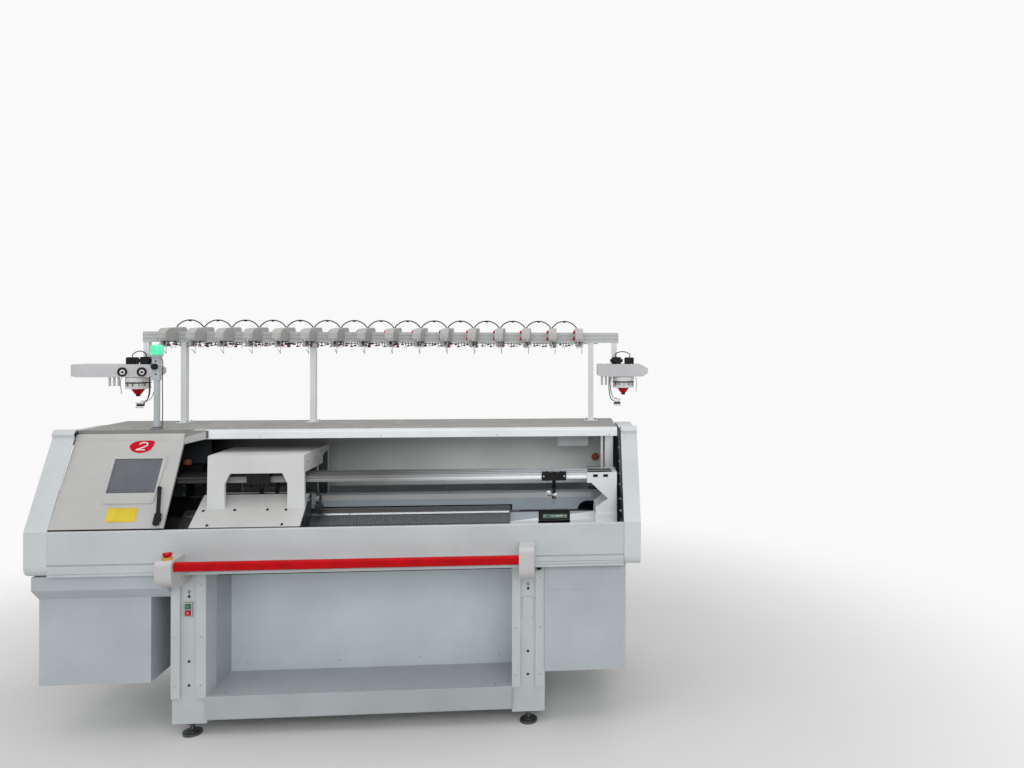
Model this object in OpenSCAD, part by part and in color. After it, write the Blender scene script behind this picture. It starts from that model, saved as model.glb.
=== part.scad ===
// Computerised flat knitting machine with two V-set needle beds, a travelling
// carriage, yarn feeders on rails, a yarn table and an overhead tension rail.
// X runs along the beds, Y runs to the rear, Z is up. The origin is on the floor,
// under the middle of the machine's outline.

/* [Machine] */
// Overall length over the end housings
machine_len = 2800; // [2600:10:3000]
// Depth from the front cover to the rear cover
body_depth = 885; // [860:5:960]
// Height of the yarn rail's centre above the floor
rail_height = 1870; // [1800:10:1950]

/* [Stands] */
// Left edge of the left stand
left_stand_x = -791; // [-800:1:-780]
// Left edge of the right stand
right_stand_x = 783; // [770:1:790]
// Width of the outer flange of a stand
stand_flange_w = 40; // [30:1:45]
// Width of the recessed channel of a stand
stand_channel_w = 72; // [60:1:80]
// Depth from the front cover to the face of a stand
stand_face_depth = 60; // [50:1:70]
// Height of the stands' top, which carries the bed casting
stand_top_z = 800; // [780:5:810]
// Height of the stands' underside above the floor
foot_height = 60; // [50:1:80]
// Radius of a levelling foot's pad
foot_pad_r = 42; // [30:1:50]

/* [Bay] */
// Height of the cloth tray's surface
tray_z = 190; // [170:5:220]
// Depth from the front cover to the bay's back panel
bay_depth = 338; // [300:1:380]
// Thickness of sheet panels
sheet = 3; // [2:0.5:4]

/* [Cover] */
// Height of the front cover's top edge
cover_top_z = 985; // [975:1:995]
// Height of the front cover's bottom edge
cover_bottom_z = 777; // [770:1:790]
// Width of an end housing, seen from the front
housing_w = 82; // [70:1:95]
// Backward lean of the control panel and the end housings over their height
lean_depth = 208; // [180:1:230]

/* [Control panel] */
// Width of the control panel
panel_w = 500; // [480:1:505]
// Width of the touch screen
screen_w = 217; // [180:1:240]
// Height of the touch screen along the panel
screen_h = 168; // [140:1:180]
// Height of the screen's lower edge along the panel
screen_up = 176; // [160:1:200]

/* [Needle beds] */
// Left end of the needle beds
bed_left_x = -795; // [-810:1:-780]
// Length of the needle beds
bed_len = 1560; // [1400:20:1570]
// Depth from the front cover to the middle of the throat between the beds
throat_depth = 210; // [205:1:215]
// Width of the throat
throat_gap = 16; // [12:1:20]
// Height of the throat's edges
throat_z = 1026; // [1020:1:1030]
// Slope of each bed below level
bed_slope = 40; // [38:1:42]
// Length of a bed down its slope
bed_run = 185; // [170:1:190]
// Pitch of the needle grooves
groove_pitch = 13; // [12:1:20]
// Width of a needle groove
groove_w = 4; // [3:0.5:6]
// Depth of a needle groove
groove_depth = 3; // [2:0.5:4]

/* [Carriage] */
// Middle of the carriage along the beds
carriage_x = -445; // [-452:1:-430]
// Width of the carriage bridge
bridge_w = 440; // [420:2:460]
// Depth of the carriage bridge from front to rear
bridge_depth = 220; // [216:2:224]
// Height of the bridge's top
bridge_top_z = 1308; // [1300:1:1320]
// Height of the bridge's beam
bridge_beam_h = 85; // [80:1:90]
// Width of the cam box at its foot
cam_foot_w = 498; // [480:2:504]
// Width of the cam box at its top
cam_top_w = 490; // [470:2:496]
// Height of the cam boxes' flat top
cam_top_z = 1110; // [1104:1:1116]

/* [Feeder rails] */
// Height of the feeder rails' top edge
feeder_rail_z = 1202; // [1196:1:1206]
// Height of a feeder rail
feeder_rail_h = 28; // [24:1:32]
// Thickness of a feeder rail
feeder_rail_t = 10; // [8:1:12]
// Spacing of the feeder rails from front to rear
feeder_rail_pitch = 50; // [46:1:50]
// Number of feeder rails
feeder_rail_count = 4; // [4:1:4]

/* [Start bar] */
// Height of the start bar's middle
bar_z = 842; // [834:1:846]
// Left end of the start bar
bar_left_x = -703; // [-709:1:-700]
// Right end of the start bar
bar_right_x = 824; // [824:0.5:825]
// Height of the start bar's section
bar_h = 40; // [36:1:44]
// Depth of the start bar's section
bar_t = 30; // [26:1:34]
// Distance from the front cover to the bar's middle
bar_reach = 92; // [88:1:96]
// Width of a bar bracket
bar_bracket_w = 70; // [64:1:76]

/* [Table] */
// Height of the table's top
table_z = 1418; // [1400:1:1440]
// Height of the table's edge
table_edge_h = 45; // [40:1:50]
// Depth of the table from front to rear
table_depth = 442; // [420:2:460]

/* [Yarn rail] */
// Height of the yarn rail's section
yarn_rail_h = 56; // [40:1:60]
// Depth from the front cover to the yarn rail's middle
yarn_rail_depth = 550; // [520:2:580]
// Number of tension units
unit_count = 16; // [12:1:16]
// Spacing of the tension units
unit_pitch = 141; // [135:1:145]
// Outward reach of the storage feeders from the middle of the machine
storage_reach = 1490; // [1480:1:1510]

/* [Clearances] */
// Radial clearance of a turning shaft in its bore
shaft_clear = 0.05; // [0.02:0.01:0.1]
// Clearance between covers and what moves beside them
cover_clear = 4; // [3:0.5:6]
// Gap between pieces that only pass each other
pass_gap = 0.5; // [0.3:0.1:1]

/* [Hidden] */
$fn = 48;

bracket_front = bar_reach + bar_t / 2 + 20;
front_y = (bracket_front - body_depth) / 2;
half_len = machine_len / 2;
cover_left_x = -half_len + housing_w + 18;
cover_right_x = half_len - housing_w;
panel_height = table_z - table_edge_h - cover_top_z;
lean = atan2(lean_depth, panel_height);
panel_run = norm([lean_depth, panel_height]);
panel_right_x = cover_left_x + panel_w;
table_back = lean_depth + table_depth;
table_under_z = table_z - table_edge_h;
bed_z_drop = bed_run * sin(bed_slope);
bed_depth_run = bed_run * cos(bed_slope);
bed_right_x = bed_left_x + bed_len;
first_unit_x = -1002;
feeder_first_depth = throat_depth - feeder_rail_pitch * (feeder_rail_count - 1) / 2;
stand_right_flange = stand_flange_w + 5;
stand_w = stand_flange_w + stand_channel_w + stand_right_flange;

// Places its children in the frame whose Y is the depth behind the front cover
module at_front() {
    translate([0, front_y, 0]) children();
}

// Box between two corners, given as depth behind the front cover
module span(low, high) {
    translate(low) cube(high - low);
}

// Prism along X from a profile of [depth, height] points
module profile_x(x0, x1, points) {
    translate([x0, 0, 0])
        rotate([90, 0, 90])
            linear_extrude(height = x1 - x0)
                polygon(points);
}

// Prism along Y from a profile of [x, height] points
module profile_y(y0, y1, points) {
    translate([0, y1, 0])
        rotate([90, 0, 0])
            linear_extrude(height = y1 - y0)
                polygon(points);
}

// Rod along X
module rod_x(x0, x1, depth, z, r) {
    translate([x0, depth, z]) rotate([0, 90, 0]) cylinder(r = r, h = x1 - x0);
}

// Rod along Y
module rod_y(y0, y1, x, z, r) {
    translate([x, y0, z]) rotate([-90, 0, 0]) cylinder(r = r, h = y1 - y0);
}

// Places its children on the leaning panel: X along it, Z up it, Y into it
module on_panel() {
    translate([0, 0, cover_top_z]) rotate([-lean, 0, 0]) children();
}

// Points of an arc round a centre, from one angle to another
function arc(cx, cy, r, a0, a1, n = 5) =
    [for (i = [0:n]) let (a = a0 + (a1 - a0) * i / n) [cx + r * cos(a), cy + r * sin(a)]];

// Outline of a rectangle with rounded corners, from its lower left corner
function round_rect(x, y, w, h, r) = concat(
    arc(x + r, y + r, r, 180, 270),
    arc(x + w - r, y + r, r, 270, 360),
    arc(x + w - r, y + h - r, r, 0, 90),
    arc(x + r, y + h - r, r, 90, 180)
);

// Stands, beams and feet

column_depth = 100;
stand_depth = body_depth - 105;
roller_r = 28;
roller_shaft_r = 10;
roller_z = stand_top_z - 50;
roller_gap = 0.5;
roller_seat = 20;
main_roller_depth = throat_depth - roller_r - roller_gap / 2;
pressure_roller_depth = throat_depth + roller_r + roller_gap / 2;
bay_left_x = left_stand_x + stand_w;
bay_right_x = right_stand_x;

// One stand: a recessed front channel between two flanges, a rear column and the web between them
module stand(x0, bore_side) {
    inner_x = bore_side > 0 ? x0 + stand_w : x0;
    difference() {
        union() {
            span([x0, stand_face_depth, foot_height],
                 [x0 + stand_w, stand_face_depth + column_depth, stand_top_z]);
            span([x0, stand_depth - 80, foot_height], [x0 + stand_w, stand_depth, stand_top_z]);
            span([x0, stand_face_depth, foot_height], [x0 + stand_w, stand_depth, foot_height + 90]);
            span([x0, stand_face_depth, stand_top_z - 110], [x0 + stand_w, stand_depth, stand_top_z]);
            span([inner_x - (bore_side > 0 ? 8 : 0), stand_face_depth, foot_height],
                 [inner_x + (bore_side > 0 ? 0 : 8), stand_depth, stand_top_z]);
        }
        // Recessed channel in the front
        span([x0 + stand_flange_w, stand_face_depth - 1, foot_height - 1],
             [x0 + stand_flange_w + stand_channel_w, stand_face_depth + 14, stand_top_z - 20]);
        // Outer flanges stop above the foot
        span([x0 - 1, stand_face_depth - 1, foot_height - 1],
             [x0 + stand_flange_w + 1, stand_face_depth + 14, 183]);
        span([x0 + stand_flange_w + stand_channel_w - 1, stand_face_depth - 1, foot_height - 1],
             [x0 + stand_w + 1, stand_face_depth + 14, 183]);
        rod_y(stand_face_depth + 13, stand_face_depth + 26, x0 + stand_flange_w + stand_channel_w / 2,
              stand_top_z - 122, 8);
        // Seats of the take-down rollers
        for (d = [main_roller_depth, pressure_roller_depth])
            rod_x(inner_x - roller_seat - 2, inner_x + roller_seat + 2, d, roller_z,
                  roller_shaft_r + shaft_clear);
    }
}

module left_stand() {
    color("gainsboro") at_front() stand(left_stand_x, 1);
}

module right_stand() {
    color("gainsboro") at_front() stand(right_stand_x, -1);
}

beam_low = foot_height + 10;
beam_high = tray_z - 50;

module lower_beams() {
    color("lightgray") at_front()
        for (d = [stand_face_depth + 20, stand_depth - 60])
            span([bay_left_x, d, beam_low], [bay_right_x, d + 40, beam_high]);
}

foot_stud_r = 9;
foot_inset = 45;

module levelling_foot() {
    cylinder(r = foot_pad_r, h = 12);
    cylinder(r = foot_pad_r * 0.6, h = 20);
    cylinder(r = foot_stud_r, h = foot_height);
    translate([0, 0, foot_height - 16]) cylinder(r = foot_stud_r * 1.9, h = 14, $fn = 6);
}

module levelling_feet() {
    color("dimgray") at_front()
        for (x = [left_stand_x + stand_w / 2, right_stand_x + stand_w / 2],
             d = [stand_face_depth + foot_inset, stand_depth - foot_inset])
            translate([x, d, 0]) levelling_foot();
}

module cloth_tray() {
    color("gainsboro") at_front() {
        difference() {
            span([bay_left_x, stand_face_depth, beam_high], [bay_right_x, bay_depth, tray_z]);
            span([bay_left_x - 1, stand_face_depth + sheet, beam_high - 1],
                 [bay_right_x + 1, bay_depth + 1, tray_z - sheet]);
        }
        span([bay_left_x, stand_face_depth, beam_low + 12],
             [bay_right_x, stand_face_depth + sheet, beam_high + 1]);
        for (x = [bay_left_x + 150 : 380 : bay_right_x - 100])
            span([x, stand_face_depth + sheet - 1, beam_high], [x + 30, bay_depth, tray_z - 1]);
    }
}

module bay_back_panel() {
    color("lightsteelblue") at_front()
        profile_x(bay_left_x, bay_right_x, [
            [bay_depth, beam_high], [bay_depth, stand_top_z], [bay_depth + 24, stand_top_z],
            [bay_depth + 24, stand_top_z - sheet], [bay_depth + sheet, stand_top_z - sheet],
            [bay_depth + sheet, beam_high]
        ]);
}

side_panel_front = stand_face_depth + column_depth + 4;

// Thin liner on the inner face of a stand, with wiring holes
module bay_side_panel(x0) {
    difference() {
        span([x0, side_panel_front, tray_z], [x0 + sheet, bay_depth, stand_top_z - 90]);
        for (p = [[200, 700], [300, 640], [230, 600]])
            rod_x(x0 - 1, x0 + sheet + 1, p[0], p[1] - 60, 7);
    }
}

module bay_side_panels() {
    color("silver") at_front() {
        bay_side_panel(bay_left_x);
        bay_side_panel(bay_right_x - sheet);
    }
}

// Cabinets at both ends

cabinet_top_z = cover_bottom_z - 2;
left_cabinet_bottom = 258;
right_cabinet_bottom = 262;
left_cabinet_x0 = -half_len + 20;
right_cabinet_x1 = half_len - 69;
cabinet_back = body_depth - 25;

// Grid of vent slots cut into a side face at one X
module vent_grid(x, depth, z, columns, rows) {
    for (i = [0:columns - 1], j = [0:rows - 1])
        span([x - 3, depth + i * 22, z + j * 14], [x + 3, depth + i * 22 + 15, z + j * 14 + 6]);
}

module left_cabinet() {
    color("gainsboro") at_front()
        difference() {
            profile_x(left_cabinet_x0, left_stand_x - pass_gap, [
                [22, cabinet_top_z], [22, cabinet_top_z - 62], [78, cabinet_top_z - 118],
                [78, left_cabinet_bottom], [cabinet_back, left_cabinet_bottom],
                [cabinet_back, cabinet_top_z]
            ]);
            vent_grid(left_cabinet_x0, 180, 330, 8, 14);
            // Open corner beside the stand
            span([left_stand_x - 96, 0, left_cabinet_bottom - 1],
                 [left_stand_x, 330, cabinet_top_z - 118]);
        }
}

module right_cabinet() {
    color("gainsboro") at_front()
        difference() {
            union() {
                span([right_stand_x + stand_w + pass_gap, 48, right_cabinet_bottom],
                     [right_cabinet_x1, cabinet_back, cabinet_top_z]);
                span([right_stand_x + stand_w + 16, 44, cabinet_top_z - 118],
                     [right_cabinet_x1 - 120, 49, cabinet_top_z]);
            }
            vent_grid(right_cabinet_x1, 180, 330, 8, 14);
        }
}

// Bed casting, side plates and rear panels

side_plate_t = 8;
side_plate_x = half_len - housing_w - 26;
casting_half = side_plate_x;
ledge_z = 925;
deck_z = 962;
deck_inset = 60;
bracket_seat_z = 1004;
bracket_foot_w = 106;
rear_wall_depth = throat_depth + 240;
rear_wall_t = 25;
rear_wall_z = 1054;
bed_seat_h = 30;
bed_low_depth = throat_depth - throat_gap / 2 - bed_depth_run;
bed_low_z = throat_z - bed_z_drop;
pulley_r = 30;
pulley_shaft_r = 8;
pulley_z = 1000;
drive_pulley_x = 1216;
idler_pulley_x = -1200;
belt_w = 25;
belt_depth = rear_wall_depth + rear_wall_t + 45;
belt_t = 3;

// Depth on the other side of the throat
function mirrored(d) = 2 * throat_depth - d;

// Half of the casting's section that carries one bed; drop lowers the seat
function casting_section(drop) = [
    [8, stand_top_z], [8, ledge_z], [bed_low_depth - 4, ledge_z],
    [bed_low_depth, bed_low_z - bed_seat_h - drop],
    [throat_depth - throat_gap / 2, throat_z - bed_seat_h - drop],
    [throat_depth - throat_gap / 2, throat_z - 70], [throat_depth - 60, stand_top_z + 75],
    [throat_depth - 60, stand_top_z]
];

function mirror_section(points) = [for (p = points) [mirrored(p[0]), p[1]]];

module bed_casting() {
    color("lightslategray") at_front()
        difference() {
            union() {
                profile_x(-casting_half, casting_half, casting_section(0));
                profile_x(-casting_half, casting_half, mirror_section(casting_section(pass_gap)));
                span([-casting_half, mirrored(8) - 1, stand_top_z],
                     [casting_half, rear_wall_depth + rear_wall_t, stand_top_z + 60]);
                span([-casting_half, rear_wall_depth, stand_top_z],
                     [casting_half, rear_wall_depth + rear_wall_t, rear_wall_z]);
                for (x = [-casting_half, bed_right_x + 20])
                    span([x, 8, stand_top_z],
                         [x < 0 ? bed_left_x - 20 : casting_half, mirrored(8), stand_top_z + 90]);
                // Deck beside the right end of the beds, and the seat of the rail bracket;
                // its rear half leaves room for the racking bed
                span([bed_right_x + 4, deck_inset, ledge_z - 60],
                     [casting_half, throat_depth, deck_z]);
                span([bed_right_x + 20, throat_depth - 1, ledge_z - 60],
                     [casting_half, mirrored(deck_inset), deck_z]);
                span([casting_half - bracket_foot_w, throat_depth - 110, ledge_z - 60],
                     [casting_half, throat_depth + 110, bracket_seat_z]);
                // Seat of the left rail bracket
                span([-casting_half, deck_inset, ledge_z - 60],
                     [-casting_half + bracket_foot_w, throat_depth - 20, bracket_seat_z]);
            }
            // Pocket in the deck, and the round cut-out in the rear wall for the racking drive
            span([bed_right_x + 141, deck_inset + 10, deck_z - 22],
                 [bed_right_x + 297, throat_depth + 60, deck_z + 1]);
            rod_y(rear_wall_depth - 1, rear_wall_depth + rear_wall_t + 1, 1160, 944, 54);
            for (x = [drive_pulley_x, idler_pulley_x])
                rod_y(rear_wall_depth - 1, rear_wall_depth + rear_wall_t + 1, x, pulley_z,
                      pulley_shaft_r + shaft_clear);
        }
}

module side_plate(x0) {
    profile_x(x0, x0 + side_plate_t, [
        [40, cabinet_top_z + 1], [24, cover_bottom_z + 30], [24, cover_top_z],
        [lean_depth + 24, table_under_z], [table_back - 30, table_under_z],
        [table_back - 30, cabinet_top_z + 1]
    ]);
}

module left_side_plate() {
    color("dimgray") at_front() side_plate(-side_plate_x - side_plate_t);
}

module right_side_plate() {
    color("dimgray") at_front() side_plate(side_plate_x);
}

rear_panel_depth = table_back - 26;
panel_seam_x = -180;

module rear_upper_panels() {
    color("darkgray") at_front()
        for (r = [[-side_plate_x, panel_seam_x - 1], [panel_seam_x + 1, side_plate_x]])
            profile_x(r[0], r[1], [
                [rear_panel_depth, rear_wall_z + 10], [rear_panel_depth, table_under_z],
                [rear_panel_depth + sheet, table_under_z], [rear_panel_depth + sheet, rear_wall_z + 13],
                [rear_panel_depth + 40, rear_wall_z + 13], [rear_panel_depth + 40, rear_wall_z + 10]
            ]);
}

rear_cover_top_z = rear_wall_z + 10;
rear_bend_z = cabinet_top_z + 105;

module rear_lower_cover() {
    color("gainsboro") at_front()
        difference() {
            profile_x(-half_len + housing_w + 20, half_len - housing_w - 20, [
                [cabinet_back + 1, right_cabinet_bottom], [body_depth, right_cabinet_bottom],
                [body_depth, rear_bend_z], [table_back + 14, rear_cover_top_z],
                [rear_panel_depth + 4, rear_cover_top_z], [rear_panel_depth + 4, rear_cover_top_z - 4],
                [table_back + 12, rear_cover_top_z - 4], [body_depth - 4, rear_bend_z - 2],
                [body_depth - 4, cabinet_top_z], [cabinet_back + 1, cabinet_top_z]
            ]);
            // Vent louvres
            for (x = [-1200 : 60 : 1160], z = [420, 500])
                span([x, body_depth - 6, z], [x + 40, body_depth + 1, z + 8]);
        }
}

// Needle beds

groove_count = floor(bed_len / groove_pitch);
bed_plate_t = 10;

// Comb outline of a bed plate: flat below, grooved above
function comb() = concat(
    [[0, 0]],
    [for (i = [0:groove_count - 1]) let (x = (i + 0.5) * groove_pitch)
        each [[x - groove_w / 2, bed_plate_t], [x - groove_w / 2, bed_plate_t - groove_depth],
              [x + groove_w / 2, bed_plate_t - groove_depth], [x + groove_w / 2, bed_plate_t]]],
    [[bed_len, 0]]
);

function comb_closed() = concat(
    [[0, 0], [0, bed_plate_t]],
    [for (i = [1:len(comb()) - 2]) comb()[i]],
    [[bed_len, bed_plate_t], [bed_len, 0]]
);

// One bed with its grooved plate facing up and to the front
module needle_bed() {
    intersection() {
        translate([bed_left_x, throat_depth - throat_gap / 2, throat_z])
            rotate([bed_slope + 90, 0, 0])
                translate([0, -bed_plate_t, -40])
                    linear_extrude(height = bed_run + 40) polygon(comb_closed());
        span([bed_left_x, bed_low_depth, 700],
             [bed_right_x, throat_depth - throat_gap / 2, throat_z]);
    }
    profile_x(bed_left_x, bed_right_x, [
        [bed_low_depth, bed_low_z - bed_seat_h], [bed_low_depth, bed_low_z - 7],
        [throat_depth - throat_gap / 2, throat_z - 7],
        [throat_depth - throat_gap / 2, throat_z - bed_seat_h]
    ]);
}

module front_needle_bed() {
    color("silver") at_front() needle_bed();
}

module rear_needle_bed() {
    color("silver") at_front()
        translate([0, 2 * throat_depth, 0]) mirror([0, 1, 0]) needle_bed();
}

carriage_under_z = 972;
guide_rail_depth = 24;
guide_rail_t = 20;

module guide_rails() {
    color("lightgray") at_front()
        for (d = [guide_rail_depth, mirrored(guide_rail_depth + guide_rail_t)])
            difference() {
                span([-casting_half + 30, d, ledge_z],
                     [casting_half - 240, d + guide_rail_t, carriage_under_z - cover_clear]);
                span([-casting_half, d + 5, ledge_z + 14],
                     [casting_half, d + guide_rail_t + 1, ledge_z + 26]);
            }
}

// Covers

cover_t = 8;

module front_cover() {
    color("gainsboro") at_front()
        profile_x(cover_left_x, cover_right_x, concat(
            arc(4, cover_bottom_z + 4, 4, 270, 180, 3),
            [[0, cover_bottom_z + 12], [3, cover_bottom_z + 14], [0, cover_bottom_z + 16],
             [0, cover_bottom_z + 50], [3, cover_bottom_z + 52], [0, cover_bottom_z + 54]],
            arc(6, cover_top_z - 6, 6, 180, 90, 4),
            [[12, cover_top_z], [12, cover_top_z - 4], [cover_t, cover_top_z - 4],
             [cover_t, cover_bottom_z + 8], [20, cover_bottom_z + 8], [20, cover_bottom_z]]
        ));
}

housing_bottom_z = cover_bottom_z;
window_top_z = table_z - 88;
window_knee_z = table_z - 208;
window_bottom_z = table_z - 328;
housing_back = 700;

// Side outline of an end housing, grown inwards by a margin
function housing_outline(m) = concat(
    [[60, housing_bottom_z + m]],
    arc(46 + m * 0.2, housing_bottom_z + 46, 46 - m, 270, 180, 6),
    [[m, cover_top_z - m * 0.3],
     [lean_depth - 8 + m, table_z - 34],
     [lean_depth - 14 + m, table_z - 16]],
    arc(lean_depth + 14, table_z - 18, 24 - m, 160, 70, 4),
    [[lean_depth + 70, table_z - 14 - m], [table_back - 60, table_z - 14 - m],
     [housing_back - m, table_z - 120], [housing_back - m, rear_bend_z],
     [housing_back - 70, housing_bottom_z + m]]
);

// Shell over one end of the machine, open to the inside; the outer face is at x = 0
module end_housing(width) {
    difference() {
        union() {
            profile_x(0, width, housing_outline(0));
        }
        profile_x(5, width + 1, housing_outline(5));
        // Window in the outer face
        profile_x(-1, 6, [
            [lean_depth + 30, window_bottom_z + 50], [lean_depth + 62, window_top_z],
            [520, window_top_z], [520, window_knee_z],
            [400, window_bottom_z], [lean_depth + 60, window_bottom_z]
        ]);
        // Pressed lines that meet in a flat V
        for (i = [0:3]) {
            translate([0, 330 + i * 18, 800 + i * 26]) rotate([-38, 0, 0])
                span([-1, 0, 0], [1.5, 5, 210]);
            translate([0, 330 + i * 18, 800 + i * 26]) rotate([40, 0, 0])
                span([-1, 0, 0], [1.5, 5, 250]);
        }
        // Notch at the lower rear
        span([-1, 520, housing_bottom_z - 1], [width + 1, 600, housing_bottom_z + 38]);
    }
}

module left_end_housing() {
    color("whitesmoke") at_front() translate([-half_len, 0, 0]) end_housing(housing_w + 18 - pass_gap);
}

module right_end_housing() {
    color("whitesmoke") at_front()
        translate([half_len, 0, 0]) mirror([1, 0, 0]) end_housing(housing_w - pass_gap);
}

// Control panel and what is on it

panel_t = 8;
screen_x = cover_left_x + 208;
screen_recess = 5;
badge_x = cover_left_x + 319;
badge_up = panel_run - 36;
latch_pivot_x = panel_right_x - 28;
latch_pivot_up = 48;
latch_pivot_r = 5;
latch_len = 150;

module control_panel() {
    color("whitesmoke") at_front()
        difference() {
            union() {
                on_panel() {
                    span([cover_left_x, 0, 10], [panel_right_x, panel_t, panel_run]);
                    // Raised surround of the screen
                    translate([0, 0.1, 0]) rotate([90, 0, 0])
                        linear_extrude(height = 4.1)
                            polygon(concat(
                                arc(screen_x + 12, screen_up - 26, 24, 230, 270),
                                arc(screen_x + screen_w - 12, screen_up - 26, 24, 270, 310),
                                arc(screen_x + screen_w + 6, screen_up + screen_h + 2, 14, 0, 90),
                                arc(screen_x - 6, screen_up + screen_h + 2, 14, 90, 180)
                            ));
                }
                // Cheek at the right edge and cap at the top
                profile_x(panel_right_x - 6, panel_right_x, [
                    [5, cover_top_z + 9], [lean_depth, table_under_z - 1],
                    [lean_depth + 12, table_under_z - 1], [16, cover_top_z + 9]
                ]);
                profile_x(cover_left_x, panel_right_x, [
                    [lean_depth - 2, table_under_z - 2], [lean_depth + 6, table_under_z + 14],
                    [lean_depth + 20, table_z - 18], [lean_depth + 20, table_z - 26],
                    [lean_depth + 14, table_under_z - 4]
                ]);
            }
            on_panel() {
                span([screen_x, -10, screen_up], [screen_x + screen_w, screen_recess, screen_up + screen_h]);
                rod_y(-1, panel_t + 1, latch_pivot_x, latch_pivot_up, latch_pivot_r + shaft_clear);
            }
        }
}

module touch_screen() {
    color("slategray") at_front() on_panel()
        span([screen_x, screen_recess - 4, screen_up],
             [screen_x + screen_w, screen_recess, screen_up + screen_h]);
}

module number_badge() {
    color("firebrick") at_front() on_panel()
        intersection() {
            translate([badge_x - 12, 0, badge_up]) rotate([90, 0, 0]) cylinder(r = 62, h = 2);
            translate([badge_x + 12, 0, badge_up]) rotate([90, 0, 0]) cylinder(r = 62, h = 2);
            span([badge_x - 70, -3, badge_up - 32], [badge_x + 70, 1, badge_up + 32]);
        }
}

module panel_latch() {
    color("black") at_front() on_panel()
        translate([latch_pivot_x, 0, latch_pivot_up]) {
            rod_y(-14, panel_t - 1, 0, 0, latch_pivot_r);
            rod_y(-12, -pass_gap, 0, 0, 13);
            rotate([0, -10, 0]) {
                span([-7, -14, 0], [7, -5, latch_len]);
                rod_y(-14, -5, 0, latch_len, 9);
            }
        }
}

// Start bar, its brackets, the emergency stop and the power switch

bar_stub_r = 10;
bar_stub_len = 24;
bracket_low_z = bar_z - 85;
bracket_high_z = bar_z + 33;
right_bracket_high_z = bar_z + 62;
bracket_tail_z = cover_bottom_z - 42;
bracket_tail_high_z = cover_bottom_z - 1.5;
estop_x = bar_left_x - bar_bracket_w / 2;
estop_ring_r = 22;
estop_ring_h = 11;
estop_stem_r = 7;
estop_travel = 4;
estop_head_z = bracket_high_z + estop_ring_h + estop_travel + 1;

// Bracket with a rounded nose and a tail under the cover; the cavity takes the bar's stub
module bar_bracket(x0, stub_side, high_z, tail_depth) {
    difference() {
        profile_x(x0, x0 + bar_bracket_w, concat(
            [[-0.5, high_z]],
            arc(-bracket_front + 22, high_z - 22, 22, 90, 180, 6),
            arc(-bracket_front + 50, bracket_low_z + 50, 50, 180, 270, 8),
            [[-40, bracket_tail_z], [tail_depth, bracket_tail_z], [tail_depth, bracket_tail_high_z],
             [-0.5, bracket_tail_high_z]]
        ));
        rod_x(stub_side > 0 ? x0 + bar_bracket_w - bar_stub_len - 2 : x0 - 1,
              stub_side > 0 ? x0 + bar_bracket_w + 1 : x0 + bar_stub_len + 2,
              -bar_reach, bar_z, bar_stub_r + shaft_clear);
        if (stub_side > 0)
            translate([estop_x, -bar_reach + 8, high_z - 24])
                cylinder(r = estop_stem_r + shaft_clear, h = 25);
    }
}

module left_bar_bracket() {
    color("whitesmoke") at_front()
        bar_bracket(bar_left_x - bar_bracket_w, 1, bracket_high_z, stand_face_depth - 0.5);
}

module right_bar_bracket() {
    color("whitesmoke") at_front()
        bar_bracket(bar_right_x, -1, right_bracket_high_z, channel_face - 0.5);
}

module start_bar() {
    color("red") at_front() {
        profile_x(bar_left_x + pass_gap, bar_right_x - pass_gap, concat(
            [for (p = round_rect(-bar_reach - bar_t / 2, bar_z - bar_h / 2, bar_t, bar_h, 9)) p]
        ));
        for (z = [bar_z - 9, bar_z, bar_z + 9])
            span([bar_left_x + pass_gap, -bar_reach - bar_t / 2 - 1, z - 1.5],
                 [bar_right_x - pass_gap, -bar_reach, z + 1.5]);
        rod_x(bar_left_x - bar_stub_len, bar_left_x + 2, -bar_reach, bar_z, bar_stub_r);
        rod_x(bar_right_x - 2, bar_right_x + bar_stub_len, -bar_reach, bar_z, bar_stub_r);
    }
}

module estop_ring() {
    color("gold") at_front()
        translate([estop_x, -bar_reach + 8, bracket_high_z])
            difference() {
                cylinder(r = estop_ring_r, h = estop_ring_h);
                translate([0, 0, -1]) cylinder(r = estop_stem_r + shaft_clear, h = estop_ring_h + 2);
            }
}

module estop_button() {
    color("red") at_front()
        translate([estop_x, -bar_reach + 8, 0]) {
            translate([0, 0, bracket_high_z - 18])
                cylinder(r = estop_stem_r, h = estop_head_z - bracket_high_z + 20);
            translate([0, 0, estop_head_z])
                rotate_extrude()
                    polygon(concat([[0, 0], [17, 0]], arc(14, 8, 6, -20, 90, 4), [[0, 16]]));
        }
}

switch_x = left_stand_x + stand_flange_w + 34;
switch_z = 596;
switch_w = 38;
switch_h = 66;
switch_t = 9;
button_w = 24;
button_h = 22;
button_travel = 3;
channel_face = stand_face_depth + 14;

module switch_plate() {
    color("lightgray") at_front()
        difference() {
            span([switch_x - switch_w / 2, channel_face - switch_t, switch_z - switch_h / 2],
                 [switch_x + switch_w / 2, channel_face, switch_z + switch_h / 2]);
            for (side = [-1, 1])
                translate([switch_x, channel_face - switch_t - 1, switch_z + side * 15])
                    span([-button_w / 2 - pass_gap, 0, -button_h / 2 - pass_gap],
                         [button_w / 2 + pass_gap, switch_t - 1, button_h / 2 + pass_gap]);
        }
}

module power_button(side) {
    translate([switch_x, channel_face - switch_t - 3, switch_z + side * 15])
        span([-button_w / 2, 0, -button_h / 2], [button_w / 2, switch_t - 2, button_h / 2]);
}

module on_button() {
    color("green") at_front() power_button(1);
}

module off_button() {
    color("red") at_front() power_button(-1);
}

// Yarn table

table_x0 = -half_len + housing_w + 22;
table_x1 = side_plate_x + side_plate_t;
trim_x0 = -760;
trim_t = 14;

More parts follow.
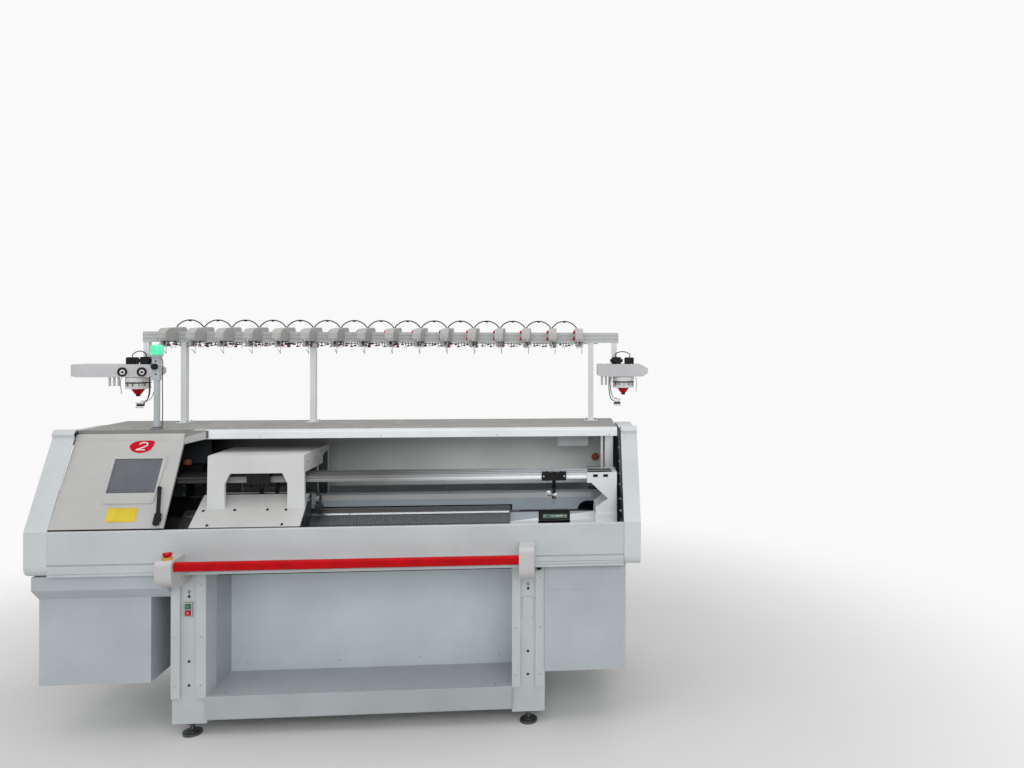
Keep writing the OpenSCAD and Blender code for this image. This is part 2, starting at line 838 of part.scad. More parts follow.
module table_top() {
    color("darkgray") at_front()
        difference() {
            span([table_x0, lean_depth + trim_t + 8, table_under_z + 0.5], [table_x1, table_back, table_z]);
            span([table_x0 - 1, lean_depth + trim_t + 12, table_under_z - 1],
                 [table_x1 + 1, table_back - 4, table_z - 4]);
        }
    color("darkgray") at_front()
        for (x = [table_x0, -500, 0, 500, table_x1 - 30])
            span([x, lean_depth + trim_t + 10, table_under_z + 0.5], [x + 30, table_back - 2, table_z - 2]);
}

module table_trim() {
    color("gainsboro") at_front()
        profile_x(trim_x0, table_x1, [
            [lean_depth, table_under_z + 2], [lean_depth, table_z - 12], [lean_depth + 3, table_z - 9],
            [lean_depth + 3, table_z], [lean_depth + trim_t + 7.9, table_z],
            [lean_depth + trim_t + 7.9, table_under_z + 0.5], [lean_depth + 2, table_under_z + 0.5]
        ]);
}

module table_posts() {
    color("silver") at_front() {
        span([side_plate_x - 50, lean_depth + 60, feeder_rail_z + 4],
             [side_plate_x - 8, lean_depth + 90, table_under_z]);
        span([side_plate_x - 71, lean_depth + 68, feeder_rail_z + 4],
             [side_plate_x - 60, lean_depth + 82, table_under_z]);
    }
}

module junction_box() {
    color("whitesmoke") at_front()
        difference() {
            profile_y(lean_depth + 160, lean_depth + 220, round_rect(1000, table_under_z - 70, 160, 66 + table_edge_h, 6));
            span([1010, lean_depth + 159, table_under_z - 40], [1150, lean_depth + 161, table_under_z - 38]);
        }
}

// Feeder rails, their end brackets and the yarn feeders

rail_left_x = -1060;
rail_right_x = 1146;
bracket_depth_0 = feeder_first_depth - 22;
bracket_depth_1 = mirrored(bracket_depth_0);

function feeder_rail_depth(i) = feeder_first_depth + i * feeder_rail_pitch;

module feeder_rails() {
    color("silver") at_front()
        for (i = [0:feeder_rail_count - 1])
            profile_x(rail_left_x, rail_right_x, let (d = feeder_rail_depth(i), z = feeder_rail_z) [
                [d - feeder_rail_t / 2, z - feeder_rail_h], [d - feeder_rail_t / 2, z - feeder_rail_h + 9],
                [d - feeder_rail_t / 2 + 2, z - feeder_rail_h / 2], [d - feeder_rail_t / 2, z - 9],
                [d - feeder_rail_t / 2, z], [d + feeder_rail_t / 2, z],
                [d + feeder_rail_t / 2, z - 9], [d + feeder_rail_t / 2 - 2, z - feeder_rail_h / 2],
                [d + feeder_rail_t / 2, z - feeder_rail_h + 9], [d + feeder_rail_t / 2, z - feeder_rail_h]
            ]);
}

// Casting that holds the rails at one end and stands on the bed casting
module rail_bracket(front_depth, rail_end) {
    difference() {
        profile_y(front_depth, bracket_depth_1, [
            [rail_end, feeder_rail_z + 4], [side_plate_x, feeder_rail_z + 4],
            [side_plate_x, bracket_seat_z], [side_plate_x - bracket_foot_w + 4, bracket_seat_z],
            [side_plate_x - bracket_foot_w, 1032], [side_plate_x - 44, 1076],
            [side_plate_x - 127, 1156], [rail_end, 1156]
        ]);
        for (x = [side_plate_x - 118, side_plate_x - 68])
            span([x, front_depth - 1, feeder_rail_z - 19], [x + 24, front_depth + 14, feeder_rail_z - 5]);
        span([rail_end + 30, front_depth + 22, bracket_seat_z - 4],
             [side_plate_x - 8, bracket_depth_1 - 22, feeder_rail_z - 16]);
    }
}

module rail_brackets() {
    color("whitesmoke") at_front() {
        rail_bracket(bracket_depth_0, rail_right_x);
        mirror([1, 0, 0]) rail_bracket(feeder_first_depth - feeder_rail_t / 2, -rail_left_x);
    }
}

feeder_len = 120;
feeder_wall = 7;
feeder_arm_t = 4;
feeder_arm_w = 18;
feeder_tip_z = throat_z + 10;
feeder_tip_pitch = 7;
feeder_park_x = 982;

// Slider that wraps its rail, with an arm down to the yarn tube over the throat
module yarn_feeder(i, x) {
    d = feeder_rail_depth(i);
    tip = throat_depth + (i - 1.5) * feeder_tip_pitch;
    block_low = feeder_rail_z - feeder_rail_h - pass_gap - feeder_wall;
    difference() {
        span([x - feeder_len / 2, d - feeder_rail_t / 2 - pass_gap - feeder_wall, block_low],
             [x + feeder_len / 2, d + feeder_rail_t / 2 + pass_gap + feeder_wall,
              feeder_rail_z + pass_gap + 5]);
        span([x - feeder_len / 2 - 1, d - feeder_rail_t / 2 - pass_gap,
              feeder_rail_z - feeder_rail_h - pass_gap],
             [x + feeder_len / 2 + 1, d + feeder_rail_t / 2 + pass_gap, feeder_rail_z + pass_gap]);
        for (side = [-1, 1])
            span([x + side * 38 - 9, d - 30, feeder_rail_z - 20], [x + side * 38 + 9, d - 7, feeder_rail_z - 9]);
    }
    profile_x(x - feeder_arm_w / 2, x + feeder_arm_w / 2, [
        [d - feeder_arm_t / 2, block_low + 1], [tip - feeder_arm_t / 2, block_low - 46],
        [tip - feeder_arm_t / 2, feeder_tip_z + 22], [tip + feeder_arm_t / 2, feeder_tip_z + 22],
        [tip + feeder_arm_t / 2, block_low - 46], [d + feeder_arm_t / 2, block_low + 1]
    ]);
    translate([x, tip, feeder_tip_z]) cylinder(r1 = 1.6, r2 = 2.8, h = 30);
    translate([x, tip - 2, block_low - 84]) rotate([90, 0, 0]) {
        translate([-12, 0, -3.9]) cylinder(r = 9, h = 3.8);
    }
}

module yarn_feeder_front() {
    color("dimgray") at_front() yarn_feeder(0, feeder_park_x);
}

module yarn_feeder_middle() {
    color("dimgray") at_front() yarn_feeder(1, carriage_x + 8);
}

module yarn_feeder_rear() {
    color("dimgray") at_front() yarn_feeder(2, carriage_x + 78);
}

// Carriage

bridge_depth_0 = throat_depth - bridge_depth / 2;
bridge_overhang = 80;
bridge_back = mirrored(bridge_depth_0) + bridge_overhang;
bridge_under_z = bridge_top_z - bridge_beam_h;
bridge_leg_depth = 18;
selector_depth_0 = bridge_depth_0 + 27;
cam_front_depth = guide_rail_depth - 10;
cam_nose_z = 990;
cam_top_depth = 172;
bridge_shift = 20;
bridge_foot_z = 1000;

// Height of the bed's surface at a depth in front of the throat
function bed_surface(d) = throat_z - (throat_depth - throat_gap / 2 - d) * tan(bed_slope);

// Section of the front cam box
cam_section = [
    [cam_front_depth, carriage_under_z], [cam_front_depth, cam_nose_z], [cam_top_depth, cam_top_z],
    [throat_depth - 16, cam_top_z], [throat_depth - 16, cam_top_z - 30],
    [throat_depth - 24, cam_top_z - 46], [throat_depth - 22, bed_surface(throat_depth - 22) + 12],
    [throat_depth - 86, carriage_under_z]
];

// Front outline of a bridge end: two legs that widen the opening downwards
module bridge_front(d0, d1) {
    translate([carriage_x + bridge_shift, 0, 0])
        profile_y(d0, d1, [
            [-bridge_w / 2, bridge_top_z], [bridge_w / 2, bridge_top_z],
            [bridge_w / 2 + 5, bridge_foot_z], [bridge_w / 2 - 80, bridge_foot_z],
            [bridge_w / 2 - 76, cam_top_z], [bridge_w / 2 - 76, bridge_under_z - 50],
            [bridge_w / 2 - 100, bridge_under_z], [-bridge_w / 2 + 100, bridge_under_z],
            [-bridge_w / 2 + 76, bridge_under_z - 50], [-bridge_w / 2 + 76, cam_top_z],
            [-bridge_w / 2 + 80, bridge_foot_z], [-bridge_w / 2 - 5, bridge_foot_z]
        ]);
}

// Space above the sloped face of the cam box, which trims the legs
above_cam_face = [
    [cam_front_depth, bridge_top_z + 10], [cam_front_depth, cam_nose_z], [cam_top_depth, cam_top_z],
    [throat_depth, cam_top_z], [throat_depth, bridge_top_z + 10]
];

module bridge_end() {
    intersection() {
        bridge_front(bridge_depth_0, bridge_depth_0 + bridge_leg_depth);
        profile_x(carriage_x - bridge_w, carriage_x + bridge_w, above_cam_face);
    }
}

clamp_z = pulley_z + pulley_r + pass_gap + belt_t;

module carriage_bridge() {
    color("whitesmoke") at_front() {
        bridge_end();
        translate([0, 2 * throat_depth, 0]) mirror([0, 1, 0]) bridge_end();
        translate([carriage_x + bridge_shift, 0, 0]) {
            difference() {
                span([-bridge_w / 2, bridge_depth_0 + 1, bridge_under_z],
                     [bridge_w / 2, bridge_back, bridge_top_z]);
                span([-bridge_w / 2 + 6, bridge_depth_0 + 20, bridge_under_z - 1],
                     [bridge_w / 2 - 6, bridge_back - 6, bridge_top_z - 6]);
            }
            // Arm to the drive belt
            translate([bridge_w / 2 - 60, 0, 0])
                profile_x(0, 50, [
                    [bridge_back - 2, bridge_top_z - 4], [belt_depth + belt_w, bridge_top_z - 4],
                    [belt_depth + belt_w, clamp_z], [belt_depth, clamp_z], [belt_depth, bridge_top_z - 34],
                    [bridge_back - 2, bridge_top_z - 60]
                ]);
        }
    }
}

// Cam box over one bed, narrower at its top
module cam_box() {
    difference() {
        intersection() {
            profile_x(carriage_x - cam_foot_w, carriage_x + cam_foot_w, cam_section);
            translate([carriage_x, 0, 0])
                profile_y(0, throat_depth, [
                    [-cam_foot_w / 2, carriage_under_z - 1], [-cam_foot_w / 2, carriage_under_z + 20],
                    [-cam_top_w / 2, cam_top_z + 1], [cam_top_w / 2, cam_top_z + 1],
                    [cam_foot_w / 2, carriage_under_z + 20], [cam_foot_w / 2, carriage_under_z - 1]
                ]);
        }
        // Cam tracks in the underside
        for (side = [-1, 1])
            translate([carriage_x + side * 110, 0, 0])
                profile_x(-70, 70, [
                    [throat_depth - 80, carriage_under_z - 1],
                    [throat_depth - 84, carriage_under_z + 10],
                    [throat_depth - 60, bed_surface(throat_depth - 60) + 22],
                    [throat_depth - 40, bed_surface(throat_depth - 40) + 22],
                    [throat_depth - 36, bed_surface(throat_depth - 36) + 6],
                    [throat_depth - 78, carriage_under_z - 4]
                ]);
    }
}

module front_cam_box() {
    color("whitesmoke") at_front() cam_box();
}

module rear_cam_box() {
    color("whitesmoke") at_front()
        translate([0, 2 * throat_depth, 0]) mirror([0, 1, 0]) cam_box();
}

selector_low_z = feeder_rail_z + pass_gap + 9;

module feeder_selector() {
    color("black") at_front()
        translate([carriage_x + bridge_shift, 0, 0]) {
            span([-62, selector_depth_0, bridge_under_z - 4],
                 [62, mirrored(selector_depth_0), bridge_top_z - 6]);
            for (i = [0:feeder_rail_count - 1], x = [-44, -14, 16, 46])
                translate([x, feeder_rail_depth(i), selector_low_z])
                    cylinder(r = 8, h = bridge_under_z - selector_low_z + 9);
        }
}

brush_x = carriage_x + cam_top_w / 2;

module brush_unit() {
    color("dimgray") at_front()
        translate([brush_x, cam_top_depth, cam_top_z]) {
            span([-20, 2, 0], [44, 20, 8]);
            span([24, -46, 0], [44, 3, 8]);
            span([24, -46, -44], [44, -14, 1]);
            translate([43, -30, -22]) rotate([0, 90, 0])
                difference() {
                    cylinder(r = 22, h = 16);
                    translate([0, 0, 8]) cylinder(r = 13, h = 9);
                }
        }
}

// Drive of the carriage

// Half ring of the belt round one pulley
module belt_turn(x, a0) {
    translate([x, belt_depth + belt_w, pulley_z])
        rotate([90, 0, 0])
            rotate([0, 0, a0])
                rotate_extrude(angle = 180)
                    translate([pulley_r + 0.3, 0]) square([belt_t - 0.3, belt_w]);
}

module drive_belt() {
    color("black") at_front() {
        belt_turn(drive_pulley_x, -90);
        belt_turn(idler_pulley_x, 90);
        for (z = [pulley_z + pulley_r + 0.3, pulley_z - pulley_r - belt_t])
            span([idler_pulley_x, belt_depth, z], [drive_pulley_x, belt_depth + belt_w, z + belt_t - 0.3]);
    }
}

module pulley(x, shaft_rear) {
    rod_y(belt_depth, belt_depth + belt_w, x, pulley_z, pulley_r);
    rod_y(belt_depth - 4, belt_depth - 1, x, pulley_z, pulley_r + 6);
    rod_y(belt_depth + belt_w + 1, belt_depth + belt_w + 4, x, pulley_z, pulley_r + 6);
    rod_y(belt_depth - 4, belt_depth + belt_w + 4, x, pulley_z, 14);
    rod_y(rear_wall_depth + 2, belt_depth + belt_w + shaft_rear, x, pulley_z, pulley_shaft_r);
}

motor_depth = belt_depth + belt_w + 8;
motor_shaft_in = 40;

module drive_pulley() {
    color("silver") at_front() pulley(drive_pulley_x, motor_shaft_in);
}

module idler_pulley() {
    color("silver") at_front() pulley(idler_pulley_x, 6);
}

module main_motor() {
    color("dimgray") at_front()
        difference() {
            union() {
                span([drive_pulley_x - 40, motor_depth, pulley_z - 40],
                     [drive_pulley_x + 40, motor_depth + 90, pulley_z + 40]);
                rod_y(motor_depth + 88, motor_depth + 112, drive_pulley_x, pulley_z, 36);
                for (i = [0:5])
                    span([drive_pulley_x - 44, motor_depth + 8 + i * 14, pulley_z - 36],
                         [drive_pulley_x + 44, motor_depth + 14 + i * 14, pulley_z + 36]);
                span([drive_pulley_x - 36, motor_depth + 2, cabinet_top_z],
                     [drive_pulley_x + 36, motor_depth + 26, pulley_z - 30]);
                span([drive_pulley_x - 40, motor_depth - 4, cabinet_top_z],
                     [drive_pulley_x + 40, motor_depth + 80, cabinet_top_z + 10]);
            }
            rod_y(motor_depth - 1, motor_depth + 36, drive_pulley_x, pulley_z,
                  pulley_shaft_r + shaft_clear);
        }
}

// Take-down rollers

module roller(depth) {
    rod_x(bay_left_x + 12, bay_right_x - 12, depth, roller_z, roller_r);
    rod_x(bay_left_x - roller_seat, bay_right_x + roller_seat, depth, roller_z, roller_shaft_r);
}

module take_down_roller() {
    color("dimgray") at_front() roller(main_roller_depth);
}

module pressure_roller() {
    color("silver") at_front() roller(pressure_roller_depth);
}

// Yarn rail, posts and tension units

drum_x_left = 300 - storage_reach;
drum_x_right = storage_reach - 130;
storage_inner_left = 112;
storage_inner_right = 144;
rail_end_lap = 30;
left_post_gap = 108;
right_post_gap = 49;
right_post_inset = 133;
yarn_rail_x0 = drum_x_left + rail_end_lap;
yarn_rail_x1 = drum_x_right - rail_end_lap;
yarn_rail_t = 30;
yarn_rail_low = rail_height - yarn_rail_h / 2;
post_w = 28;
// The outer posts stand beside the storage feeders' inner ends, and on the table
post_x = [drum_x_left + storage_inner_left + left_post_gap, -312,
          min(table_x1 - right_post_inset, drum_x_right - storage_inner_right - right_post_gap)];
end_post_x = yarn_rail_x1 - 17;
storage_low_z = 1660;
storage_high_z = 1727;
storage_depth_0 = yarn_rail_depth - 60;
storage_depth_1 = yarn_rail_depth + 60;

module yarn_rail() {
    color("whitesmoke") at_front()
        difference() {
            span([yarn_rail_x0, yarn_rail_depth - yarn_rail_t / 2, yarn_rail_low],
                 [yarn_rail_x1, yarn_rail_depth + yarn_rail_t / 2, yarn_rail_low + yarn_rail_h]);
            for (z = [rail_height - 12, rail_height + 6])
                span([yarn_rail_x0 - 1, yarn_rail_depth - yarn_rail_t / 2 - 1, z],
                     [yarn_rail_x1 + 1, yarn_rail_depth - yarn_rail_t / 2 + 3, z + 6]);
        }
}

// Long posts stand on the table; the two short end arms hold the storage feeders
module rail_posts() {
    color("whitesmoke") at_front() {
        for (x = post_x) {
            span([x, yarn_rail_depth - 15, table_z], [x + post_w, yarn_rail_depth + 15, yarn_rail_low]);
            span([x - 18, yarn_rail_depth - 32, table_z], [x + post_w + 18, yarn_rail_depth + 32, table_z + 6]);
        }
        for (x = [yarn_rail_x0 + 2, end_post_x - 18])
            span([x, yarn_rail_depth - 13, storage_high_z], [x + post_w, yarn_rail_depth + 13, yarn_rail_low]);
    }
}

unit_wide = 42;
unit_low = -20;
unit_front = -150;
unit_top = 50;
pin_r = 6;

// Long tension unit astride the rail, with discs hanging from it and a bent take-up wire;
// heights are from the middle of the rail, depths from its plane
module tension_unit(x) {
    translate([x, yarn_rail_depth, rail_height]) {
        profile_x(-unit_wide / 2, unit_wide / 2, [
            [unit_front, unit_low], [unit_front - 6, unit_low + 14], [unit_front, unit_low + 42],
            [unit_front + 34, unit_top - 6], [60, unit_top + 2], [80, unit_top - 8],
            [80, yarn_rail_h / 2], [-yarn_rail_t / 2 - 1, yarn_rail_h / 2],
            [-yarn_rail_t / 2 - 1, unit_low]
        ]);
        for (d = [18, 46, 74]) {
            translate([-8, unit_front + d, unit_low - 28]) cylinder(r = pin_r, h = 29);
            translate([-8, unit_front + d, unit_low - 20]) cylinder(r = pin_r + 4, h = 5);
        }
        // Take-up wire
        translate([14, unit_front + 20, unit_low - 66]) cylinder(r = 1.6, h = 68);
        translate([14, unit_front + 20, unit_low - 64]) rotate([60, 0, 0]) cylinder(r = 1.6, h = 46);
    }
}

module tension_units() {
    color("silver") at_front()
        for (i = [0:unit_count - 1]) tension_unit(first_unit_x + i * unit_pitch);
}

cable_r = 3;
cable_arc_r = 80;
cable_seat_z = rail_height + unit_top + 1.5;

// Black leads that loop over the gap between neighbouring units
module tension_cables() {
    color("black") at_front()
        for (i = [0:unit_count - 2])
            translate([first_unit_x + (i + 0.5) * unit_pitch - 7, yarn_rail_depth + 20,
                       cable_seat_z + 0.6 - cable_arc_r * cos(58)])
                rotate([90, 0, 0])
                    rotate([0, 0, 32])
                        rotate_extrude(angle = 116)
                            translate([cable_arc_r, 0]) circle(r = cable_r, $fn = 16);
}

// Storage feeders at both ends of the rail

drum_r = 54;
drum_shaft_r = 6;

module storage_body(x0, x1, drum_x) {
    difference() {
        union() {
            profile_y(storage_depth_0, storage_depth_1, [
                [x0, storage_low_z + 6], [x0, storage_high_z - 4], [x0 + 6, storage_high_z],
                [x1 - 40, storage_high_z], [x1, storage_high_z - 22], [x1, storage_low_z + 18],
                [x1 - 30, storage_low_z], [x0 + 30, storage_low_z]
            ]);
            for (i = [0:2])
                translate([drum_x - 120 + i * 22, storage_depth_0 + 20, storage_low_z - 44])
                    cylinder(r = 6, h = 46);
        }
        translate([drum_x, yarn_rail_depth, storage_low_z - 1])
            cylinder(r = drum_shaft_r + shaft_clear, h = 31);
    }
}

module storage_feeders() {
    color("gainsboro") at_front() {
        storage_body(drum_x_right - storage_inner_right, storage_reach, drum_x_right);
        storage_body(-storage_reach, drum_x_left + storage_inner_left, drum_x_left);
    }
}

module storage_drum(x) {
    translate([x, yarn_rail_depth, 0]) {
        translate([0, 0, storage_low_z - 2 - 60]) cylinder(r = drum_r, h = 60);
        translate([0, 0, storage_low_z - 6]) cylinder(r = drum_r + 4, h = 4);
        translate([0, 0, storage_low_z - 34]) cylinder(r = drum_r + 4, h = 4);
        translate([0, 0, storage_low_z - 90]) cylinder(r1 = 14, r2 = 34, h = 29);
        translate([0, 0, storage_low_z - 3]) cylinder(r = drum_shaft_r, h = 30);
    }
}

module left_storage_drum() {
    color("silver") at_front() storage_drum(drum_x_left);
}

module right_storage_drum() {
    color("silver") at_front() storage_drum(drum_x_right);
}

lamp_x = -957;
lamp_depth = lean_depth + 60;
lamp_low_z = 1782;
lamp_h = 42;
lamp_pole_r = 14;
lamp_bracket_w = 35;
lamp_bracket_h = 125;
lamp_r = 29;

module status_lamp() {
    color("mediumspringgreen") at_front()
        translate([lamp_x, lamp_depth, 0]) {
            translate([0, 0, table_z]) cylinder(r = 26, h = 6);
            translate([0, 0, table_z]) cylinder(r = lamp_pole_r, h = lamp_low_z - table_z);
            span([-lamp_bracket_w / 2, -lamp_pole_r, lamp_low_z - lamp_bracket_h],
                 [lamp_bracket_w / 2, lamp_pole_r - 6, lamp_low_z - 2]);
            translate([0, 0, lamp_low_z - 14]) cylinder(r1 = 14, r2 = lamp_r - 4, h = 14);
            translate([0, 0, lamp_low_z]) cylinder(r = lamp_r, h = lamp_h);
            translate([0, 0, lamp_low_z + lamp_h]) cylinder(r1 = lamp_r - 2, r2 = lamp_r - 8, h = 6);
        }
}

left_stand();
right_stand();
lower_beams();
levelling_feet();
cloth_tray();
bay_back_panel();
bay_side_panels();
left_cabinet();
right_cabinet();
bed_casting();
left_side_plate();
right_side_plate();
rear_upper_panels();
rear_lower_cover();
front_needle_bed();
rear_needle_bed();
guide_rails();
front_cover();
left_end_housing();
right_end_housing();
control_panel();
touch_screen();
number_badge();
panel_latch();
left_bar_bracket();
right_bar_bracket();
start_bar();
estop_ring();
estop_button();
switch_plate();
on_button();
off_button();
table_top();
table_trim();
table_posts();
junction_box();
feeder_rails();
rail_brackets();
yarn_feeder_front();
yarn_feeder_middle();
yarn_feeder_rear();
carriage_bridge();
front_cam_box();
rear_cam_box();
feeder_selector();
brush_unit();
drive_belt();
drive_pulley();
idler_pulley();
main_motor();
take_down_roller();
pressure_roller();
yarn_rail();
rail_posts();
tension_units();
tension_cables();
storage_feeders();
left_storage_drum();
right_storage_drum();
status_lamp();
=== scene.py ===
"""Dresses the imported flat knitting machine: finishes, fine detail, floor, light and camera."""
import math

import bmesh
import bpy
from mathutils import Matrix, Vector


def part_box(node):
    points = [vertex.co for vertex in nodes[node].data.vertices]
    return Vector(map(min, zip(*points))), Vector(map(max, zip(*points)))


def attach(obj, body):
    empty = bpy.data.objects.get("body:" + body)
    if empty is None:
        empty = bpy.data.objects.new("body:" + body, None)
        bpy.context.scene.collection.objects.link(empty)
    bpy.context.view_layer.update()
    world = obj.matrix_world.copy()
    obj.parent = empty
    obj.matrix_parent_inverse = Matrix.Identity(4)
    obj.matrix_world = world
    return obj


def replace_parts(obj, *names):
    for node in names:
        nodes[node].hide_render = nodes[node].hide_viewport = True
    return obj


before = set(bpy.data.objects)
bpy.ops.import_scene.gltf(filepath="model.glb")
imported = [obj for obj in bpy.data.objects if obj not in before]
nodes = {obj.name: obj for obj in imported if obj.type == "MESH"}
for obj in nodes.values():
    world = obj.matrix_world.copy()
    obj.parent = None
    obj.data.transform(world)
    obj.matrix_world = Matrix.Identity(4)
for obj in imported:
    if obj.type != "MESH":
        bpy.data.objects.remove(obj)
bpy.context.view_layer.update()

# Sizes that repeat the part's own, in metres
FRONT_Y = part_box("front_cover")[0][1]
COVER_TOP_Z = 0.985
LEAN_DEPTH = 0.208
TABLE_Z = 1.418
TABLE_UNDER_Z = 1.373
CARRIAGE_X = -0.445
LAMP_X = -0.957
LAMP_LENS_Z = 1.782
LEAN = math.atan2(LEAN_DEPTH, TABLE_UNDER_Z - COVER_TOP_Z)


def depth(d):
    """Y of a point that lies d behind the front cover."""
    return FRONT_Y + d


# Materials

def new_material(name):
    mat = bpy.data.materials.new(name)
    mat.use_nodes = True
    tree = mat.node_tree
    shader = tree.nodes["Principled BSDF"]
    return mat, tree, shader


def link(tree, a, b):
    tree.links.new(a, b)


def coords(tree, scale=(1.0, 1.0, 1.0)):
    """Object coordinates in metres, stretched by scale."""
    texture = tree.nodes.new("ShaderNodeTexCoord")
    mapping = tree.nodes.new("ShaderNodeMapping")
    mapping.inputs["Scale"].default_value = scale
    link(tree, texture.outputs["Object"], mapping.inputs["Vector"])
    return mapping.outputs["Vector"]


def noise(tree, vector, scale, detail=4.0, rough=0.55):
    node = tree.nodes.new("ShaderNodeTexNoise")
    node.inputs["Scale"].default_value = scale
    node.inputs["Detail"].default_value = detail
    node.inputs["Roughness"].default_value = rough
    link(tree, vector, node.inputs["Vector"])
    return node.outputs["Fac"]


def mix(tree, factor, a, b):
    """Mixes two colours; factor is a socket or a number, a and b sockets or colours."""
    node = tree.nodes.new("ShaderNodeMix")
    node.data_type = "RGBA"
    for socket, value in ((node.inputs["Factor"], factor), (node.inputs["A"], a), (node.inputs["B"], b)):
        if isinstance(value, (int, float)):
            socket.default_value = value
        elif isinstance(value, tuple):
            socket.default_value = (*value, 1.0)
        else:
            link(tree, value, socket)
    return node.outputs["Result"]


def map_range(tree, value, low, high, to_low=0.0, to_high=1.0):
    node = tree.nodes.new("ShaderNodeMapRange")
    node.inputs["From Min"].default_value = low
    node.inputs["From Max"].default_value = high
    node.inputs["To Min"].default_value = to_low
    node.inputs["To Max"].default_value = to_high
    link(tree, value, node.inputs["Value"])
    return node.outputs["Result"]


def surface(tree, shader, base, rough):
    link(tree, base, shader.inputs["Base Color"])
    link(tree, rough, shader.inputs["Roughness"])


def bump(tree, height, distance, shader, strength):
    node = tree.nodes.new("ShaderNodeBump")
    node.inputs["Distance"].default_value = distance
    node.inputs["Strength"].default_value = strength
    link(tree, height, node.inputs["Height"])
    link(tree, node.outputs["Normal"], shader.inputs["Normal"])


def edge_wear(tree, radius):
    """1 where an edge is near, from the bevel normal."""
    bevel = tree.nodes.new("ShaderNodeBevel")
    bevel.samples = 4
    bevel.inputs["Radius"].default_value = radius
    geometry = tree.nodes.new("ShaderNodeNewGeometry")
    dot = tree.nodes.new("ShaderNodeVectorMath")
    dot.operation = "DOT_PRODUCT"
    link(tree, bevel.outputs["Normal"], dot.inputs[0])
    link(tree, geometry.outputs["True Normal"], dot.inputs[1])
    return map_range(tree, dot.outputs["Value"], 0.995, 0.85)


def dust_up(tree, low=0.55, high=1.0):
    """1 on faces that look up."""
    geometry = tree.nodes.new("ShaderNodeNewGeometry")
    split = tree.nodes.new("ShaderNodeSeparateXYZ")
    link(tree, geometry.outputs["Normal"], split.inputs["Vector"])
    return map_range(tree, split.outputs["Z"], low, high)


def multiply(tree, a, b):
    node = tree.nodes.new("ShaderNodeMath")
    node.operation = "MULTIPLY"
    for socket, value in zip(node.inputs, (a, b)):
        if isinstance(value, (int, float)):
            socket.default_value = value
        else:
            link(tree, value, socket)
    return node.outputs["Value"]


def along_x(tree, low, high):
    """0 at one place along the machine, 1 at another."""
    texture = tree.nodes.new("ShaderNodeTexCoord")
    split = tree.nodes.new("ShaderNodeSeparateXYZ")
    link(tree, texture.outputs["Object"], split.inputs["Vector"])
    return map_range(tree, split.outputs["X"], low, high)


def shade_left(mat, colour, low, high):
    """Darkens a finished material towards the machine's left end, as painted shade."""
    tree = mat.node_tree
    socket = tree.nodes["Principled BSDF"].inputs["Base Color"]
    before = socket.links[0].from_socket
    link(tree, mix(tree, along_x(tree, low, high), colour, before), socket)
    return mat


def painted(name, colour, rough=0.42, grain=0.00012, dirt=0.25, chip=None, dust=0.35, metallic=0.0):
    """Sprayed paint or moulded plastic: faint mottling, smudges, orange peel, dusty tops and worn edges."""
    mat, tree, shader = new_material(name)
    vector = coords(tree)
    darker = tuple(c * 0.90 for c in colour)
    lighter = tuple(min(1.0, c * 1.03) for c in colour)
    base = mix(tree, map_range(tree, noise(tree, vector, 3.0, 5.0), 0.35, 0.68), lighter, darker)
    grime_colour = tuple(c * f for c, f in zip(colour, (0.66, 0.64, 0.58)))
    smudge = map_range(tree, noise(tree, coords(tree, (1.0, 1.0, 0.45)), 14.0, 8.0, 0.7), 0.60, 0.80)
    base = mix(tree, multiply(tree, smudge, dirt), base, grime_colour)
    dusty = tuple(c * 0.55 + d * 0.45 for c, d in zip(colour, (0.60, 0.58, 0.54)))
    patchy = map_range(tree, noise(tree, vector, 22.0, 6.0, 0.65), 0.35, 0.65)
    base = mix(tree, multiply(tree, multiply(tree, dust_up(tree), patchy), dust), base, dusty)
    if chip:
        worn = multiply(tree, edge_wear(tree, 0.0012),
                        map_range(tree, noise(tree, vector, 60.0, 4.0, 0.7), 0.50, 0.62))
        base = mix(tree, worn, base, chip)
    surface(tree, shader, base,
            map_range(tree, noise(tree, vector, 9.0, 6.0), 0.3, 0.7, rough - 0.07, rough + 0.10))
    shader.inputs["Metallic"].default_value = metallic
    bump(tree, noise(tree, vector, 900.0, 2.0), grain, shader, 0.5)
    return mat


def metal(name, colour, rough=0.3, streak=(2.0, 60.0, 60.0), oil=0.3, oil_colour=(0.05, 0.045, 0.04)):
    """Ground or drawn metal: streaks along one axis, oily patches and uneven gloss."""
    mat, tree, shader = new_material(name)
    grain = noise(tree, coords(tree, streak), 12.0, 6.0, 0.6)
    darker = tuple(c * 0.72 for c in colour)
    base = mix(tree, map_range(tree, grain, 0.3, 0.7), darker, colour)
    stains = map_range(tree, noise(tree, coords(tree), 18.0, 7.0, 0.7), 0.55, 0.75)
    base = mix(tree, multiply(tree, stains, oil), base, oil_colour)
    surface(tree, shader, base, map_range(tree, grain, 0.3, 0.7, rough - 0.08, rough + 0.14))
    shader.inputs["Metallic"].default_value = 1.0
    bump(tree, grain, 0.00004, shader, 0.6)
    return mat


